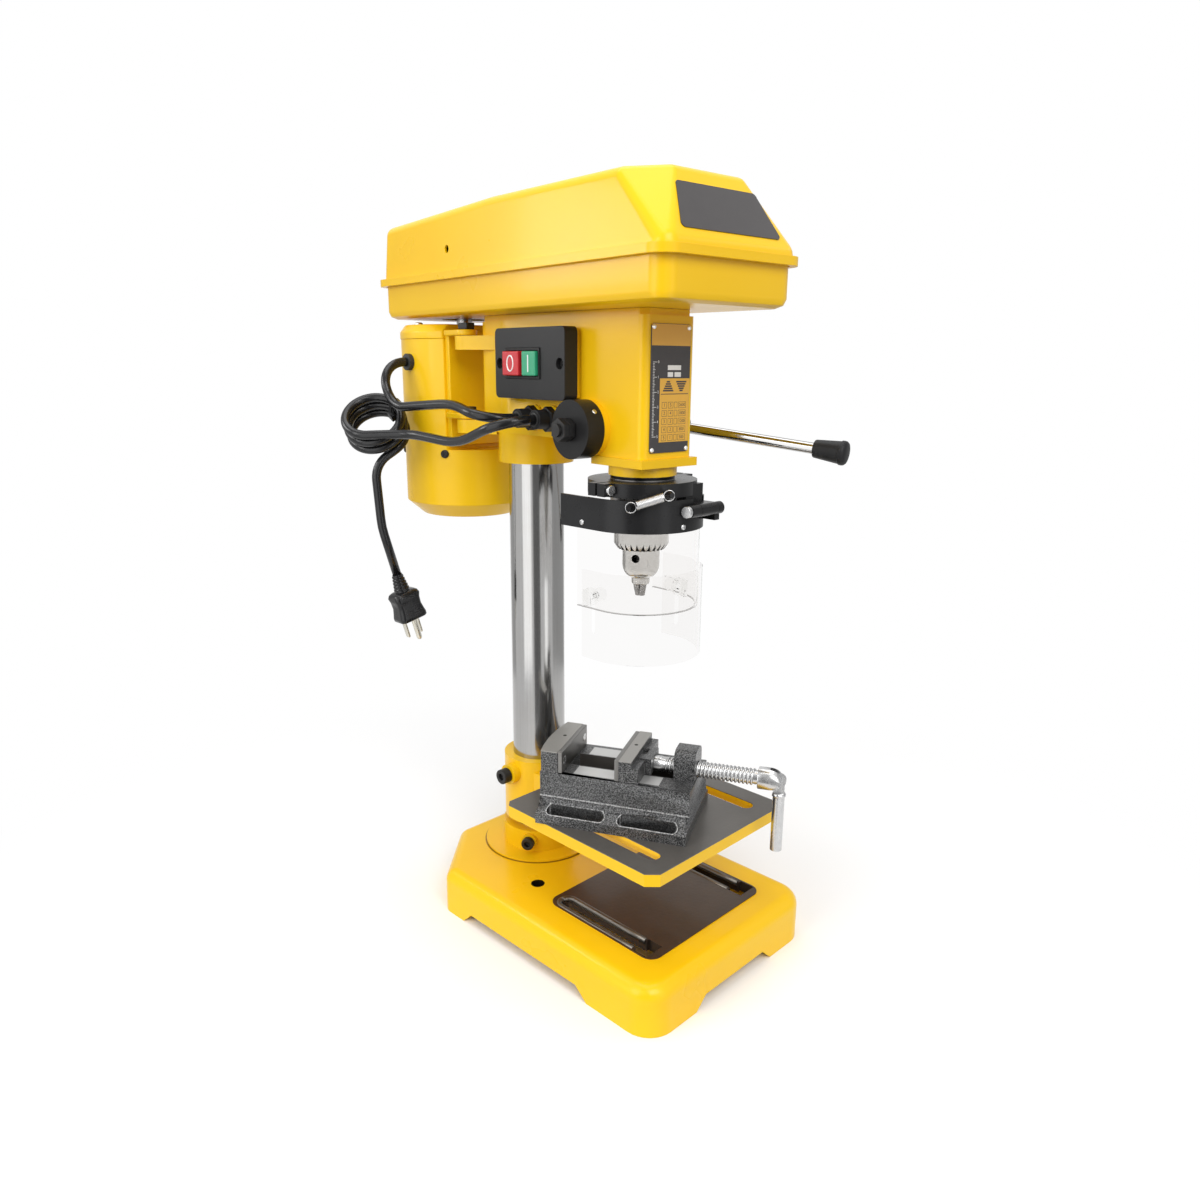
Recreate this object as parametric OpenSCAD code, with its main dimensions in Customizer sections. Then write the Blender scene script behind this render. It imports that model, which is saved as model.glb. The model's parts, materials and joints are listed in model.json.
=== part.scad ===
// Benchtop drill press: step-pulley belt drive, rack-and-pinion quill feed, keyed
// chuck, swing-up chuck guard and a screw vise on its table.
// Millimetres, +Z up, front towards -Y. The origin is on the bench, midway between
// the two bench bolts; the column stands behind it.

/* [Column and base] */
// Diameter of the column
column_d = 46; // [42:0.5:48]
// Wall of the column tube
column_wall = 3; // [2:0.5:5]
// Height of the column's upper end
column_top = 476; // [470:1:480]
// Distance of the column behind the bench bolts
column_setback = 60; // [54:1:66]
// Width of the base
base_w = 196; // [184:1:206]
// Base front edge, ahead of the column axis
base_front = 225; // [216:1:236]
// Base rear edge, behind the column axis
base_rear = 64; // [60:1:72]
// Height of the base casting
base_h = 39; // [36:0.5:42]
// Wall of the base casting
base_wall = 7; // [5:0.5:9]
// Distance between the two bench bolts
bolt_spacing = 112; // [100:1:120]
// Bench bolt hole
bolt_d = 10.5; // [9:0.5:12]
// Width of the clamping slots in the base
base_slot_w = 12; // [10:0.5:14]

/* [Table and vise] */
// Side of the square table
table_w = 160; // [150:1:166]
// Height of the table's upper face
table_top = 117; // [112:1:120]
// Thickness of the table edge
table_t = 10; // [8:0.5:12]
// Width of the table slots
table_slot_w = 12; // [10:0.5:14]
// Outside radius of the collars that hold the column
collar_r = 31; // [29.5:0.5:32]
// Angle of the vise on the table
vise_yaw = -63; // [-75:1:-50]
// Height of the vise jaws above the table
vise_h = 53; // [50:0.5:56]
// Width of the vise jaws
vise_jaw_w = 62; // [56:1:66]
// Opening between the vise jaws
vise_gap = 42; // [36:1:46]

/* [Head] */
// Turn of the head on the column
head_swivel = -5; // [-20:1:20]
// Distance from the column axis to the spindle axis
spindle_reach = 130; // [124:1:136]
// Half width of the head at its front
head_front_half = 25; // [23:0.5:27]
// Lower face of the head around the quill
head_bottom = 396; // [392:1:400]
// Upper face of the head
head_top = 495; // [492:0.5:497]
// Outside radius of the feed spring cap
cap_r = 21; // [19:0.5:22]
// Length of a feed rod, from the hub's axis to the rod's end
feed_rod_l = 128; // [110:1:136]
// Outward lean of the feed rods
feed_rod_lean = 17; // [15:0.5:20]
// Width of the switch box
switch_w = 87; // [80:1:92]
// Height of the switch box
switch_h = 52; // [46:1:54]

/* [Spindle and chuck] */
// Diameter of the quill
quill_d = 40; // [38:0.5:41]
// Radius of the chuck sleeve
chuck_sleeve_r = 20.4; // [19.5:0.1:22]
// Number of bevel teeth on the chuck sleeve
chuck_teeth = 28; // [20:1:32]
// Lean of the chuck jaws
jaw_lean = 12; // [10:0.5:13]

/* [Guard] */
// Outside radius of the upper shield
shield_r = 43; // [42:0.5:44]
// Wall of the clear shields
shield_t = 2; // [1.5:0.1:2.5]
// Lower edge of the upper shield
upper_shield_z = 289; // [284:1:296]
// Lower edge of the lower shield
lower_shield_z = 252; // [246:1:262]

/* [Belt drive and motor] */
// Radius of the motor
motor_r = 56; // [52:0.5:57]
// Lower end of the motor
motor_bottom = 330; // [320:1:340]
// Motor axis behind the column axis
motor_y = 105; // [103:1:108]
// Smallest outside radius on a step pulley
pulley_small_r = 19; // [18.5:0.5:20]
// Growth of the pulley radius at each step
pulley_step = 6.5; // [6:0.25:6.75]
// Height of one pulley step
pulley_step_h = 12; // [11.5:0.25:12.5]
// Half width of the belt housing at its front
housing_front_half = 67; // [65:0.5:69]
// Half width of the belt housing at its rear
housing_rear_half = 57.5; // [56:0.5:60]
// Wall of the belt housing
housing_t = 1.8; // [1.4:0.1:2.2]
// Height of the lid above the rim of the belt housing
lid_h = 49.5; // [47:0.5:56]

/* [Cords] */
// Diameter of the motor lead and the mains lead
cord_d = 7.6; // [6.5:0.1:8]
// Radius of the loops in the tied mains lead
coil_r = 23; // [22:0.5:25]

/* [Hidden] */
$fn = 64;

// Clearances: turning fit, sliding gap and moving gap between bodies
run = 0.06;
gap = 0.3;
col_r = column_d / 2;
column_foot = 6;
base_corner = 22;
base_edge = 11;
base_side_rear = 19;
base_rear_half = 50;
base_top_t = 8;
pad_rise = 1;
pad_half = 68.5;
pad_front = -199;
pad_rear = -86;
arch_h = 10;
boss_r = collar_r + 1.5;
boss_top = 60;
base_screw_az = 212;
base_screw_z = 51;

table_rear = -48;
table_front = table_rear - table_w;
table_chamfer = 8;
table_slot_x = 57;
table_collar_z0 = 66;
table_collar_z1 = table_top + 8;
table_screw_z = table_top - 5;
table_boss_x = collar_r + 6;

vise_pos = [-20, -124];
vise_l = 119;
vise_base_half = vise_jaw_w / 2 + 11;
vise_ledge_h = 10;
vise_way_z = 30;
vise_trough_half = 11;
vise_screw_z = vise_h - 9;
vise_plate_t = 3.5;
vise_fixed_x = -vise_l / 2 + 18;
vise_moving_x = vise_fixed_x + vise_gap;
vise_jaw_back = vise_moving_x + 24;
vise_nut_x0 = vise_l / 2 - 18;
vise_screw_r = 6.5;
vise_eye_x = 121;
vise_handle_l = 57;

sp_y = -spindle_reach;
feed_offset = quill_d / 2 + 7;
feed_y = sp_y + feed_offset;
feed_z = head_bottom + 21;
head_rear = 36;
head_side_rear = collar_r;
web_bottom = head_bottom + 12;
nose_r = quill_d / 2 + 5;
neck_r = quill_d / 2 + 3.5;
nose_z = head_bottom - 11;
neck_z = head_bottom - 30;
collar_bottom = head_bottom - 12;
lock_z = [collar_bottom + 40, collar_bottom + 75];
side_pad_x = -collar_r - 0.5;
tray_z = head_top + 4.5;
hinge_x = -36;
hinge_y = 46;
lug_r = 9.5;
pivot_r = 4;
lug_z = [head_bottom + 10, head_top - 22];
lug_h = 11;
ear_h = 4.7;
switch_y = -50;
switch_z = 462.5;
switch_d = 12;
button_y = [-33, -54];
button_w = [21, 17.5];
button_h = 18.4;

quill_r = quill_d / 2;
quill_z0 = neck_z - 2;
quill_z1 = head_bottom + 74;
module_m = 1.25;
pinion_teeth = 14;
pinion_r = module_m * pinion_teeth / 2;
rack_y = feed_offset - pinion_r;
rack_pitch = PI * module_m;
rack_lo = feed_z - 2 * rack_pitch;
rack_count = 16;
tooth_play = 0.16;
spindle_r = 8.5;
spline_core = 6;
spline_tip = 7.6;
spline_w = 3.4;
spindle_top = tray_z + 62;

chuck_z = neck_z - 72;
chuck_nose_z = chuck_z + 9;
chuck_cone_z = chuck_z + 20;
sleeve_z0 = chuck_z + 37;
sleeve_z1 = chuck_z + 58;
chuck_top = chuck_z + 68;
chuck_body_r = 13.4;
chuck_core_r = chuck_sleeve_r - 5.5;
jaw_r = 2.7;
jaw_tip_offset = 1;

pulley_z = tray_z + 5.5;
pulley_h = 5 * pulley_step_h;
belt_r = pulley_small_r + 2 * pulley_step;
belt_z = pulley_z + 2.5 * pulley_step_h;
motor_top = head_top - 1;
motor_seam = motor_top - 12;
motor_flat = 35;

tray_lip_z = 532.2;
rim_z = 526.5;
rim_top = 532.5;
lid_top = rim_top + lid_h;
lid_corner = 12;
lid_edge = 8;
housing_front = -216;
housing_rear = 160;
lid_hinge_y = housing_rear + 4.5;
lid_hinge_z = rim_z - 5.5;
lid_hinge_x = [-30, 30];

guard_yaw = -head_swivel;
clamp_z0 = neck_z + 2;
clamp_z1 = nose_z - 3;
clamp_r = 40;
band_z0 = upper_shield_z + 59;
band_z1 = band_z0 + 23;
band_r = shield_r + gap + 2;
guard_axis_y = -band_r - 4;
guard_axis_z = band_z1 - 8;
lower_r = shield_r + 1 + shield_t;
lower_top = lower_shield_z + 66;
lower_travel = 26;
thumb_z = [lower_top - 18, lower_top - 8];
hook_r = band_r + 5.5;

// Placements
module at_column() translate([0, column_setback, 0]) children();
module at_head() at_column() rotate([0, 0, head_swivel]) children();
module at_spindle() at_head() translate([0, sp_y, 0]) children();
module at_guard() at_spindle() rotate([0, 0, guard_yaw]) children();
module at_motor() at_head() translate([0, motor_y, 0]) children();
module at_feed() at_head() translate([0, feed_y, feed_z]) children();
module at_vise() at_column() translate([vise_pos[0], vise_pos[1], table_top])
    rotate([0, 0, vise_yaw]) children();

// Shared shapes
module rod_x(r, x0, x1) translate([x0, 0, 0]) rotate([0, 90, 0]) cylinder(r = r, h = x1 - x0);
module rod_y(r, y0, y1) translate([0, y0, 0]) rotate([-90, 0, 0]) cylinder(r = r, h = y1 - y0);
module ring_z(r1, r0, z0, z1) translate([0, 0, z0]) difference() {
    cylinder(r = r1, h = z1 - z0);
    translate([0, 0, -1]) cylinder(r = r0, h = z1 - z0 + 2);
}
module box(x0, x1, y0, y1, z0, z1) translate([x0, y0, z0]) cube([x1 - x0, y1 - y0, z1 - z0]);
module slot_2d(w, l) {
    square([w, l - w], center = true);
    for (s = [-1, 1]) translate([0, s * (l - w) / 2]) circle(d = w);
}
module round_rect(x0, x1, y0, y1, r) {
    translate([x0 + r, y0]) square([x1 - x0 - 2 * r, y1 - y0]);
    translate([x0, y0 + r]) square([x1 - x0, y1 - y0 - 2 * r]);
    for (x = [x0 + r, x1 - r], y = [y0 + r, y1 - r]) translate([x, y]) circle(r);
}
// A corner post with a rounded upper edge, for the outside of castings
module soft_post(x, y, r, h, edge) translate([x, y, 0]) {
    cylinder(r = r, h = h - edge, $fn = 32);
    translate([0, 0, h - edge]) rotate_extrude($fn = 32) intersection() {
        union() {
            translate([max(r - edge, 0), 0]) circle(edge, $fn = 32);
            square([max(r - edge, 0.01), edge]);
        }
        square([r, edge]);
    }
}

// Base and column
module base_hollow() {
    w = base_w / 2 - base_wall;
    f = -base_front + base_wall;
    r = base_rear - base_wall;
    polygon([[-w + 15, f], [w - 15, f], [w, f + 15], [w, base_side_rear - 8],
        [base_rear_half - 6, r], [-base_rear_half + 6, r], [-w, base_side_rear - 8], [-w, f + 15]]);
}
module base() color("gold") at_column() difference() {
    union() {
        hull() for (s = [-1, 1]) {
            soft_post(s * (base_w / 2 - base_corner), base_corner - base_front, base_corner, base_h,
                base_edge);
            soft_post(s * (base_w / 2 - base_edge), base_side_rear - base_edge, base_edge, base_h,
                base_edge);
            soft_post(s * (base_rear_half - base_edge), base_rear - base_edge, base_edge, base_h,
                base_edge);
        }
        translate([0, 0, base_h - 2]) linear_extrude(2 + pad_rise)
            round_rect(-pad_half, pad_half, pad_front, pad_rear, 10);
        cylinder(r = 49, h = base_h + 2);
        cylinder(r = boss_r, h = boss_top);
        rotate([0, 0, base_screw_az]) translate([0, 0, base_screw_z]) rod_x(7, 20, boss_r + 3);
    }
    difference() {
        translate([0, 0, -1]) linear_extrude(base_h - base_top_t + 1) base_hollow();
        translate([0, 0, 3]) cylinder(r = boss_r, h = base_h);
        box(-3, 3, -base_front, -boss_r + 1, 12, base_h);
        box(-base_w / 2, base_w / 2, -63, -57, base_h - 12, base_h);
        for (s = [-1, 1]) translate([s * bolt_spacing / 2, -column_setback, 0])
            cylinder(r = bolt_d + 0.5, h = base_h);
    }
    translate([0, 0, column_foot]) cylinder(r = col_r + run, h = boss_top);
    translate([0, 0, -1]) cylinder(r = col_r - 5, h = 20);
    rotate([0, 0, base_screw_az]) translate([0, 0, base_screw_z]) rod_x(4, 15, boss_r + 5);
    for (s = [-1, 1]) {
        translate([s * bolt_spacing / 2, -column_setback, -1]) cylinder(d = bolt_d, h = base_h + 5);
        translate([s * 58, (pad_front + pad_rear) / 2 + 1, 0]) linear_extrude(base_h + 5)
            slot_2d(base_slot_w, pad_rear - pad_front - 16);
        translate([s * base_w / 2, 0, 0]) rotate([90, 0, 90]) translate([0, 0, -16])
            linear_extrude(32) polygon([[-162, -1], [-149, arch_h], [-22, arch_h], [-10, -1]]);
    }
    for (y = [-base_front, base_rear]) translate([0, y + 16, 0]) rotate([90, 0, 0])
        linear_extrude(32) polygon([[-48, -1], [-36, arch_h], [36, arch_h], [48, -1]]);
}
module base_set_screw() color("black") at_column() rotate([0, 0, base_screw_az])
    translate([0, 0, base_screw_z]) {
    rod_x(4, col_r + run + gap, boss_r + 3);
    rod_x(5.5, boss_r + 3, boss_r + 8);
}
module column() color("silver") at_column()
    ring_z(col_r, col_r - column_wall, column_foot, column_top);

// Table
module table_outline() polygon([[-table_w / 2 + table_chamfer, table_front],
    [table_w / 2 - table_chamfer, table_front], [table_w / 2, table_front + table_chamfer],
    [table_w / 2, table_rear - 5], [table_w / 2 - 5, table_rear], [-table_w / 2 + 5, table_rear],
    [-table_w / 2, table_rear - 5], [-table_w / 2, table_front + table_chamfer]]);
module table() color("gold") at_column() difference() {
    union() {
        translate([0, 0, table_top - table_t]) linear_extrude(table_t) table_outline();
        translate([0, 0, table_collar_z0]) cylinder(r = collar_r, h = table_collar_z1 - table_collar_z0);
        box(-24, 24, table_rear - 6, 0, table_top - table_t - 12, table_top - 1);
        for (x = [-20, 15]) translate([x + 5, 0, 0]) rotate([90, 0, -90]) linear_extrude(5)
            polygon([[20, table_collar_z0 + 8], [60, table_top - table_t - 6],
                [150, table_top - table_t - 4], [150, table_top - table_t + 1], [20, table_top - 2]]);
        translate([0, 0, table_screw_z]) rod_x(9, -table_boss_x, -20);
    }
    translate([0, 0, table_collar_z0 - 1]) cylinder(r = col_r + run, h = 80);
    difference() {
        translate([0, 0, table_top - table_t - 1]) linear_extrude(5)
            round_rect(-70, 70, table_front + 10, table_rear - 12, 6);
        for (s = [-1, 1]) box(s * table_slot_x - 12, s * table_slot_x + 12, -300, 0, 0, 200);
        for (x = [-20, 15]) box(x, x + 5, -160, 0, 0, 200);
    }
    for (s = [-1, 1]) translate([s * table_slot_x, (table_front + table_rear) / 2 - 6, 0])
        linear_extrude(table_top + 5) slot_2d(table_slot_w, table_w - 42);
    translate([0, 0, table_screw_z]) rod_x(4 + run, -table_boss_x - 1, -15);
}
module table_clamp_screw() color("black") at_column() translate([0, 0, table_screw_z]) {
    rod_x(4, -table_boss_x - 2, -col_r - gap);
    rod_x(6.5, -table_boss_x - 8, -table_boss_x - gap);
}

// Vise
module vise_body() color("dimgray") at_vise() difference() {
    union() {
        linear_extrude(vise_ledge_h) round_rect(-vise_l / 2, vise_l / 2, -vise_base_half, vise_base_half, 5);
        box(-vise_l / 2 + 6, vise_l / 2, -vise_jaw_w / 2, vise_jaw_w / 2, 0, vise_way_z);
        intersection() {
            box(-vise_l / 2, vise_fixed_x - vise_plate_t, -vise_jaw_w / 2, vise_jaw_w / 2, 0, vise_h);
            translate([-vise_l / 2 + 54, 0, 0]) cylinder(r = 54, h = vise_h + 1);
        }
        box(vise_nut_x0, vise_l / 2, -13, 13, 0, vise_screw_z);
        translate([0, 0, vise_screw_z]) rod_x(13, vise_nut_x0, vise_l / 2);
    }
    box(vise_fixed_x, vise_nut_x0, -vise_trough_half, vise_trough_half, 8, vise_way_z + 1);
    box(vise_fixed_x, vise_nut_x0, -vise_trough_half - 4, vise_trough_half + 4, 8, 16);
    translate([0, 0, vise_screw_z]) rod_x(vise_screw_r + run, vise_nut_x0 - 1, vise_l / 2 + 1);
    for (s = [-1, 1], t = [-1, 1]) translate([t * 28, s * (vise_base_half - 6), -1])
        linear_extrude(vise_ledge_h + 2) rotate(90) slot_2d(7, 34);
}
module vise_fixed_plate() color("gray") at_vise() box(vise_fixed_x - vise_plate_t, vise_fixed_x,
    -vise_jaw_w / 2 + 0.5, vise_jaw_w / 2 - 0.5, vise_way_z + 0.2, vise_h);
module vise_moving_jaw() color("dimgray") at_vise() difference() {
    x0 = vise_moving_x + vise_plate_t;
    union() {
        box(x0, x0 + 10, -vise_jaw_w / 2, vise_jaw_w / 2, vise_way_z + gap, vise_h);
        box(x0, vise_jaw_back - 5, -vise_jaw_w / 2, vise_jaw_w / 2, vise_way_z + gap, vise_h - 5);
        box(x0 + 6, vise_jaw_back, -12, 12, vise_way_z + gap, vise_screw_z + 6);
        box(x0, vise_jaw_back - 4, -vise_trough_half + gap, vise_trough_half - gap, 9, vise_way_z + 1);
        box(x0, vise_jaw_back - 4, -vise_trough_half - 3.5, vise_trough_half + 3.5, 9, 15.5);
    }
    translate([0, 0, vise_screw_z]) rod_x(5 + run, vise_jaw_back - 12, vise_jaw_back + 1);
}
module vise_moving_plate() color("gray") at_vise() box(vise_moving_x, vise_moving_x + vise_plate_t,
    -vise_jaw_w / 2 + 0.5, vise_jaw_w / 2 - 0.5, vise_way_z + gap, vise_h);
module vise_screw() color("silver") at_vise() translate([0, 0, vise_screw_z]) difference() {
    union() {
        rod_x(5, vise_jaw_back - 11.5, vise_jaw_back + 1);
        rod_x(vise_screw_r, vise_jaw_back + gap, vise_eye_x - 14);
        rod_x(8.5, vise_eye_x - 16, vise_eye_x + 6);
    }
    box(vise_eye_x - 7, vise_eye_x + 7, -2.5, 2.5, -10, 10);
    translate([vise_eye_x, 0, 0]) rod_y(2 + run, -10, 10);
}
module vise_handle() color("silver") at_vise() translate([vise_eye_x, 0, vise_screw_z]) {
    rod_y(2, -8, 8);
    rod_y(5, -2.2, 2.2);
    box(-4, 4, -2.2, 2.2, -13, 0);
    translate([0, 0, -vise_handle_l]) cylinder(r = 4.5, h = vise_handle_l - 10.5);
}

// Head casting
module head_plan(y1) {
    k = (head_side_rear - head_front_half) / spindle_reach;
    polygon([[-head_front_half + 6, sp_y - 26], [head_front_half - 6, sp_y - 26],
        [head_front_half, sp_y - 20], [head_front_half + k * (y1 - sp_y), y1],
        [-head_front_half - k * (y1 - sp_y), y1], [-head_front_half, sp_y - 20]]);
    for (s = [-1, 1]) translate([s * (head_front_half - 6), sp_y - 20]) circle(6);
}
module head_casting() color("gold") at_head() difference() {
    union() {
        difference() {
            translate([0, 0, head_bottom]) linear_extrude(head_top - head_bottom) {
                head_plan(0);
                round_rect(-collar_r + 0.8, collar_r - 0.8, -20, head_rear, 8);
            }
            box(-60, 60, sp_y + 33, 100, head_bottom - 1, web_bottom);
        }
        translate([0, 0, collar_bottom]) cylinder(r = collar_r, h = head_top - collar_bottom);
        translate([0, 0, head_bottom - 4]) linear_extrude(6)
            round_rect(-head_front_half - 4, head_front_half + 4, sp_y - 30, sp_y + 29, 6);
        translate([0, sp_y, nose_z]) cylinder(r = nose_r, h = 13);
        translate([0, sp_y, neck_z]) cylinder(r = neck_r, h = 31);
        translate([0, feed_y, feed_z]) {
            rod_x(cap_r - 0.6, side_pad_x, 0);
            rod_x(16, 0, collar_r + 1);
            box(side_pad_x - 6, -22, cap_r - 1.4, cap_r + 2, -3, 3);
        }
        box(side_pad_x, -20, switch_y - switch_w / 2 + 3, switch_y + switch_w / 2 - 3,
            switch_z - switch_h / 2 + 2, switch_z + switch_h / 2 - 2);
        for (y = [-40, -62]) translate([0, y, feed_z + 5]) rod_x(10, side_pad_x, -20);
        for (z = lug_z) translate([0, 0, z]) {
            translate([hinge_x, hinge_y, 0]) cylinder(r = lug_r, h = lug_h);
            linear_extrude(lug_h) polygon([[-collar_r, 12], [hinge_x - lug_r, hinge_y],
                [hinge_x + lug_r, hinge_y], [-10, head_rear - 1]]);
        }
        for (s = [-1, 1], y = [-82, 20]) translate([s * 20, y, head_top - 5])
            cylinder(r = 6, h = tray_z - head_top + 5);
    }
    translate([0, 0, collar_bottom - 1]) cylinder(r = col_r + run, h = column_top - collar_bottom + 2);
    translate([0, sp_y, neck_z - 1]) cylinder(r = quill_r + run, h = 150);
    translate([0, feed_y, feed_z]) rod_x(10.3 + run, -60, 60);
    for (z = lug_z) translate([hinge_x, hinge_y, z - 1]) cylinder(r = pivot_r, h = lug_h + 2);
    for (z = lock_z) translate([0, 0, z]) rod_y(4, 15, 60);
}
module head_lock_screws() color("black") at_head() for (z = lock_z) translate([0, 0, z]) {
    rod_y(4, col_r + gap, head_rear);
    rod_y(6, head_rear, head_rear + 6);
}
module nameplate() color("white") at_head() translate([0, sp_y - 26, head_bottom + 50])
    rotate([90, 0, 0]) linear_extrude(0.8) round_rect(-18.8, 18.8, -43.5, 43.5, 2);
module switch_box() color("black") at_head() difference() {
    translate([side_pad_x, 0, 0]) rotate([0, -90, 0]) linear_extrude(switch_d)
        round_rect(switch_z - switch_h / 2, switch_z + switch_h / 2, switch_y - switch_w / 2,
            switch_y + switch_w / 2, 4);
    box(side_pad_x - switch_d + 2, side_pad_x + 1, switch_y - 26, switch_y + 26,
        switch_z - switch_h / 2 + 4, switch_z + switch_h / 2 - 4);
    box(side_pad_x - switch_d - 1, side_pad_x, button_y[1] - button_w[1] / 2 - 2,
        button_y[0] + button_w[0] / 2 + 2, switch_z - button_h / 2 - 2, switch_z + button_h / 2 + 2);
    for (s = [-1, 1]) translate([0, switch_y + s * (switch_w / 2 - 6), switch_z])
        rod_x(4, side_pad_x - switch_d - 1, side_pad_x - switch_d + 4);
}
module switch_module() color("dimgray") at_head() difference() {
    box(side_pad_x - switch_d - 1, side_pad_x - 0.2, button_y[1] - button_w[1] / 2 - 2,
        button_y[0] + button_w[0] / 2 + 2, switch_z - button_h / 2 - 2, switch_z + button_h / 2 + 2);
    for (i = [0, 1]) box(side_pad_x - switch_d - 2, side_pad_x - 3, button_y[i] - button_w[i] / 2,
        button_y[i] + button_w[i] / 2, switch_z - button_h / 2, switch_z + button_h / 2);
}
module button(i, out) box(side_pad_x - switch_d - out, side_pad_x - 7, button_y[i] - button_w[i] / 2 + gap,
    button_y[i] + button_w[i] / 2 - gap, switch_z - button_h / 2 + gap, switch_z + button_h / 2 - gap);
module stop_button() color("red") at_head() button(0, 5);
module start_button() color("green") at_head() button(1, 3.5);

// Feed: spring cap, shaft with pinion, hub, rods and knobs
module spring_cap() color("black") at_feed() difference() {
    rod_x(cap_r, side_pad_x - 15, side_pad_x);
    rod_x(cap_r - 2.2, side_pad_x - 12.8, side_pad_x + 1);
    rod_x(6 + gap, side_pad_x - 16, 0);
    box(side_pad_x - 6.3, side_pad_x + 1, cap_r - 6, cap_r + 2, -3.3, 3.3);
}
// Flat coil spring that lifts the quill
module return_spring() color("gray") at_feed() translate([side_pad_x - 2.4, 0, 0]) rotate([0, -90, 0])
    linear_extrude(8) polygon(concat(
        [for (i = [0 : 72]) (8 + i * 0.13) * [cos(i * 20), sin(i * 20)]],
        [for (i = [72 : -1 : 0]) (8.8 + i * 0.13) * [cos(i * 20), sin(i * 20)]]));
function inv_pt(rb, t) = rb * [cos(t) + t * PI / 180 * sin(t), sin(t) - t * PI / 180 * cos(t)];
function turn(p, a) = [p[0] * cos(a) - p[1] * sin(a), p[0] * sin(a) + p[1] * cos(a)];
module pinion_2d() {
    rb = pinion_r * cos(20);
    ra = pinion_r + module_m - 0.15;
    rr = pinion_r - 1.25 * module_m;
    t_tip = sqrt(ra * ra / (rb * rb) - 1) * 180 / PI;
    half = 90 / pinion_teeth + (tan(20) - 20 * PI / 180) * 180 / PI - tooth_play / pinion_r * 90 / PI;
    polygon([for (k = [0 : pinion_teeth - 1]) let (a = k * 360 / pinion_teeth)
        each concat([turn([rr, 0], a - half - 1)],
            [for (i = [0 : 3]) turn(inv_pt(rb, t_tip * i / 3), a - half)],
            [for (i = [3 : -1 : 0]) let (p = inv_pt(rb, t_tip * i / 3)) turn([p[0], -p[1]], a + half)],
            [turn([rr, 0], a + half + 1)])]);
}
module feed_shaft() color("silver") at_feed() {
    rotate([0, 90, 0]) rotate(90) translate([0, 0, -12.5]) linear_extrude(25) pinion_2d();
    rod_x(10.3, -collar_r + 1, -12);
    rod_x(10.3, 12, collar_r + 2.5);
    rod_x(6, side_pad_x - 15.6, -collar_r + 2);
    rod_x(4.5, side_pad_x - 28, side_pad_x - 15);
}
module feed_nuts() color("gray") at_feed() for (i = [0, 1])
    translate([side_pad_x - 20.6 - i * 5.2, 0, 0]) difference() {
        rotate([0, 90, 0]) cylinder(r = 8.5, h = 5, $fn = 6);
        rod_x(4.5, -1, 7);
    }
feed_hub_x = collar_r + 2.5;
feed_hub_l = 30;
feed_rod_x = feed_hub_x + 18;
feed_rod_angle = 186;
module each_rod() for (k = [0 : 2]) translate([feed_rod_x, 0, 0]) rotate([feed_rod_angle + 120 * k, 0, 0])
    rotate([0, 0, -feed_rod_lean]) children();
module feed_hub() color("black") at_feed() difference() {
    rotate([0, 90, 0]) rotate_extrude() polygon([[0, feed_hub_x], [17.5, feed_hub_x], [18.5, feed_hub_x + 2],
        [18.5, feed_hub_x + 24], [13, feed_hub_x + feed_hub_l], [0, feed_hub_x + feed_hub_l]]);
    each_rod() rod_y(4, 9, 40);
}
module feed_rods() color("silver") at_feed() each_rod() rod_y(4, 9, feed_rod_l);
module feed_knobs() color("black") at_feed() each_rod() rotate([-90, 0, 0]) rotate_extrude()
    polygon([[4, feed_rod_l - 14], [6, feed_rod_l - 14], [6.8, feed_rod_l - 12], [8.6, feed_rod_l + 14],
        [8, feed_rod_l + 17.5], [5, feed_rod_l + 20], [0, feed_rod_l + 20.5], [0, feed_rod_l],
        [4, feed_rod_l]]);

// Quill, spindle and chuck
module quill() color("silver") at_spindle() difference() {
    ring_z(quill_r, 11, quill_z0, quill_z1);
    translate([0, 0, quill_z0 - 1]) cylinder(r = 17, h = 14);
    translate([0, 0, quill_z1 - 13]) cylinder(r = 15.5, h = 14);
    box(-quill_r, quill_r, rack_y + 0.8 * module_m, quill_r + 1, rack_lo - rack_pitch,
        rack_lo + rack_count * rack_pitch);
    for (k = [0 : rack_count - 1]) translate([0, rack_y, rack_lo + k * rack_pitch]) rotate([90, 0, 90])
        translate([0, 0, -quill_r]) linear_extrude(2 * quill_r) polygon([
            [-1.3 * module_m, -rack_pitch / 4 + 1.3 * module_m * tan(20) - tooth_play / 2],
            [2, -rack_pitch / 4 - 2 * tan(20) - tooth_play / 2],
            [2, rack_pitch / 4 + 2 * tan(20) + tooth_play / 2],
            [-1.3 * module_m, rack_pitch / 4 - 1.3 * module_m * tan(20) + tooth_play / 2]]);
}
module quill_bearings() color("gray") at_spindle() {
    ring_z(17, spindle_r, quill_z0, quill_z0 + 13);
    ring_z(15.5, spindle_r, quill_z1 - 13, quill_z1);
}
module spline_2d(c) {
    circle(spline_core + c);
    for (a = [0, 90]) rotate(a) square([2 * spline_tip + 2 * c, spline_w + 2 * c], center = true);
}
module spindle() color("silver") at_spindle() {
    translate([0, 0, chuck_top - 20]) cylinder(r = 7, h = 21);
    translate([0, 0, chuck_top]) cylinder(r = spindle_r - run, h = quill_z1 - chuck_top + 1);
    translate([0, 0, quill_z1]) linear_extrude(spindle_top - quill_z1) spline_2d(0);
}
module jaw_axis(k) rotate(120 * k + 30) translate([jaw_tip_offset, 0, chuck_z])
    rotate([0, jaw_lean, 0]) children();
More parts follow.
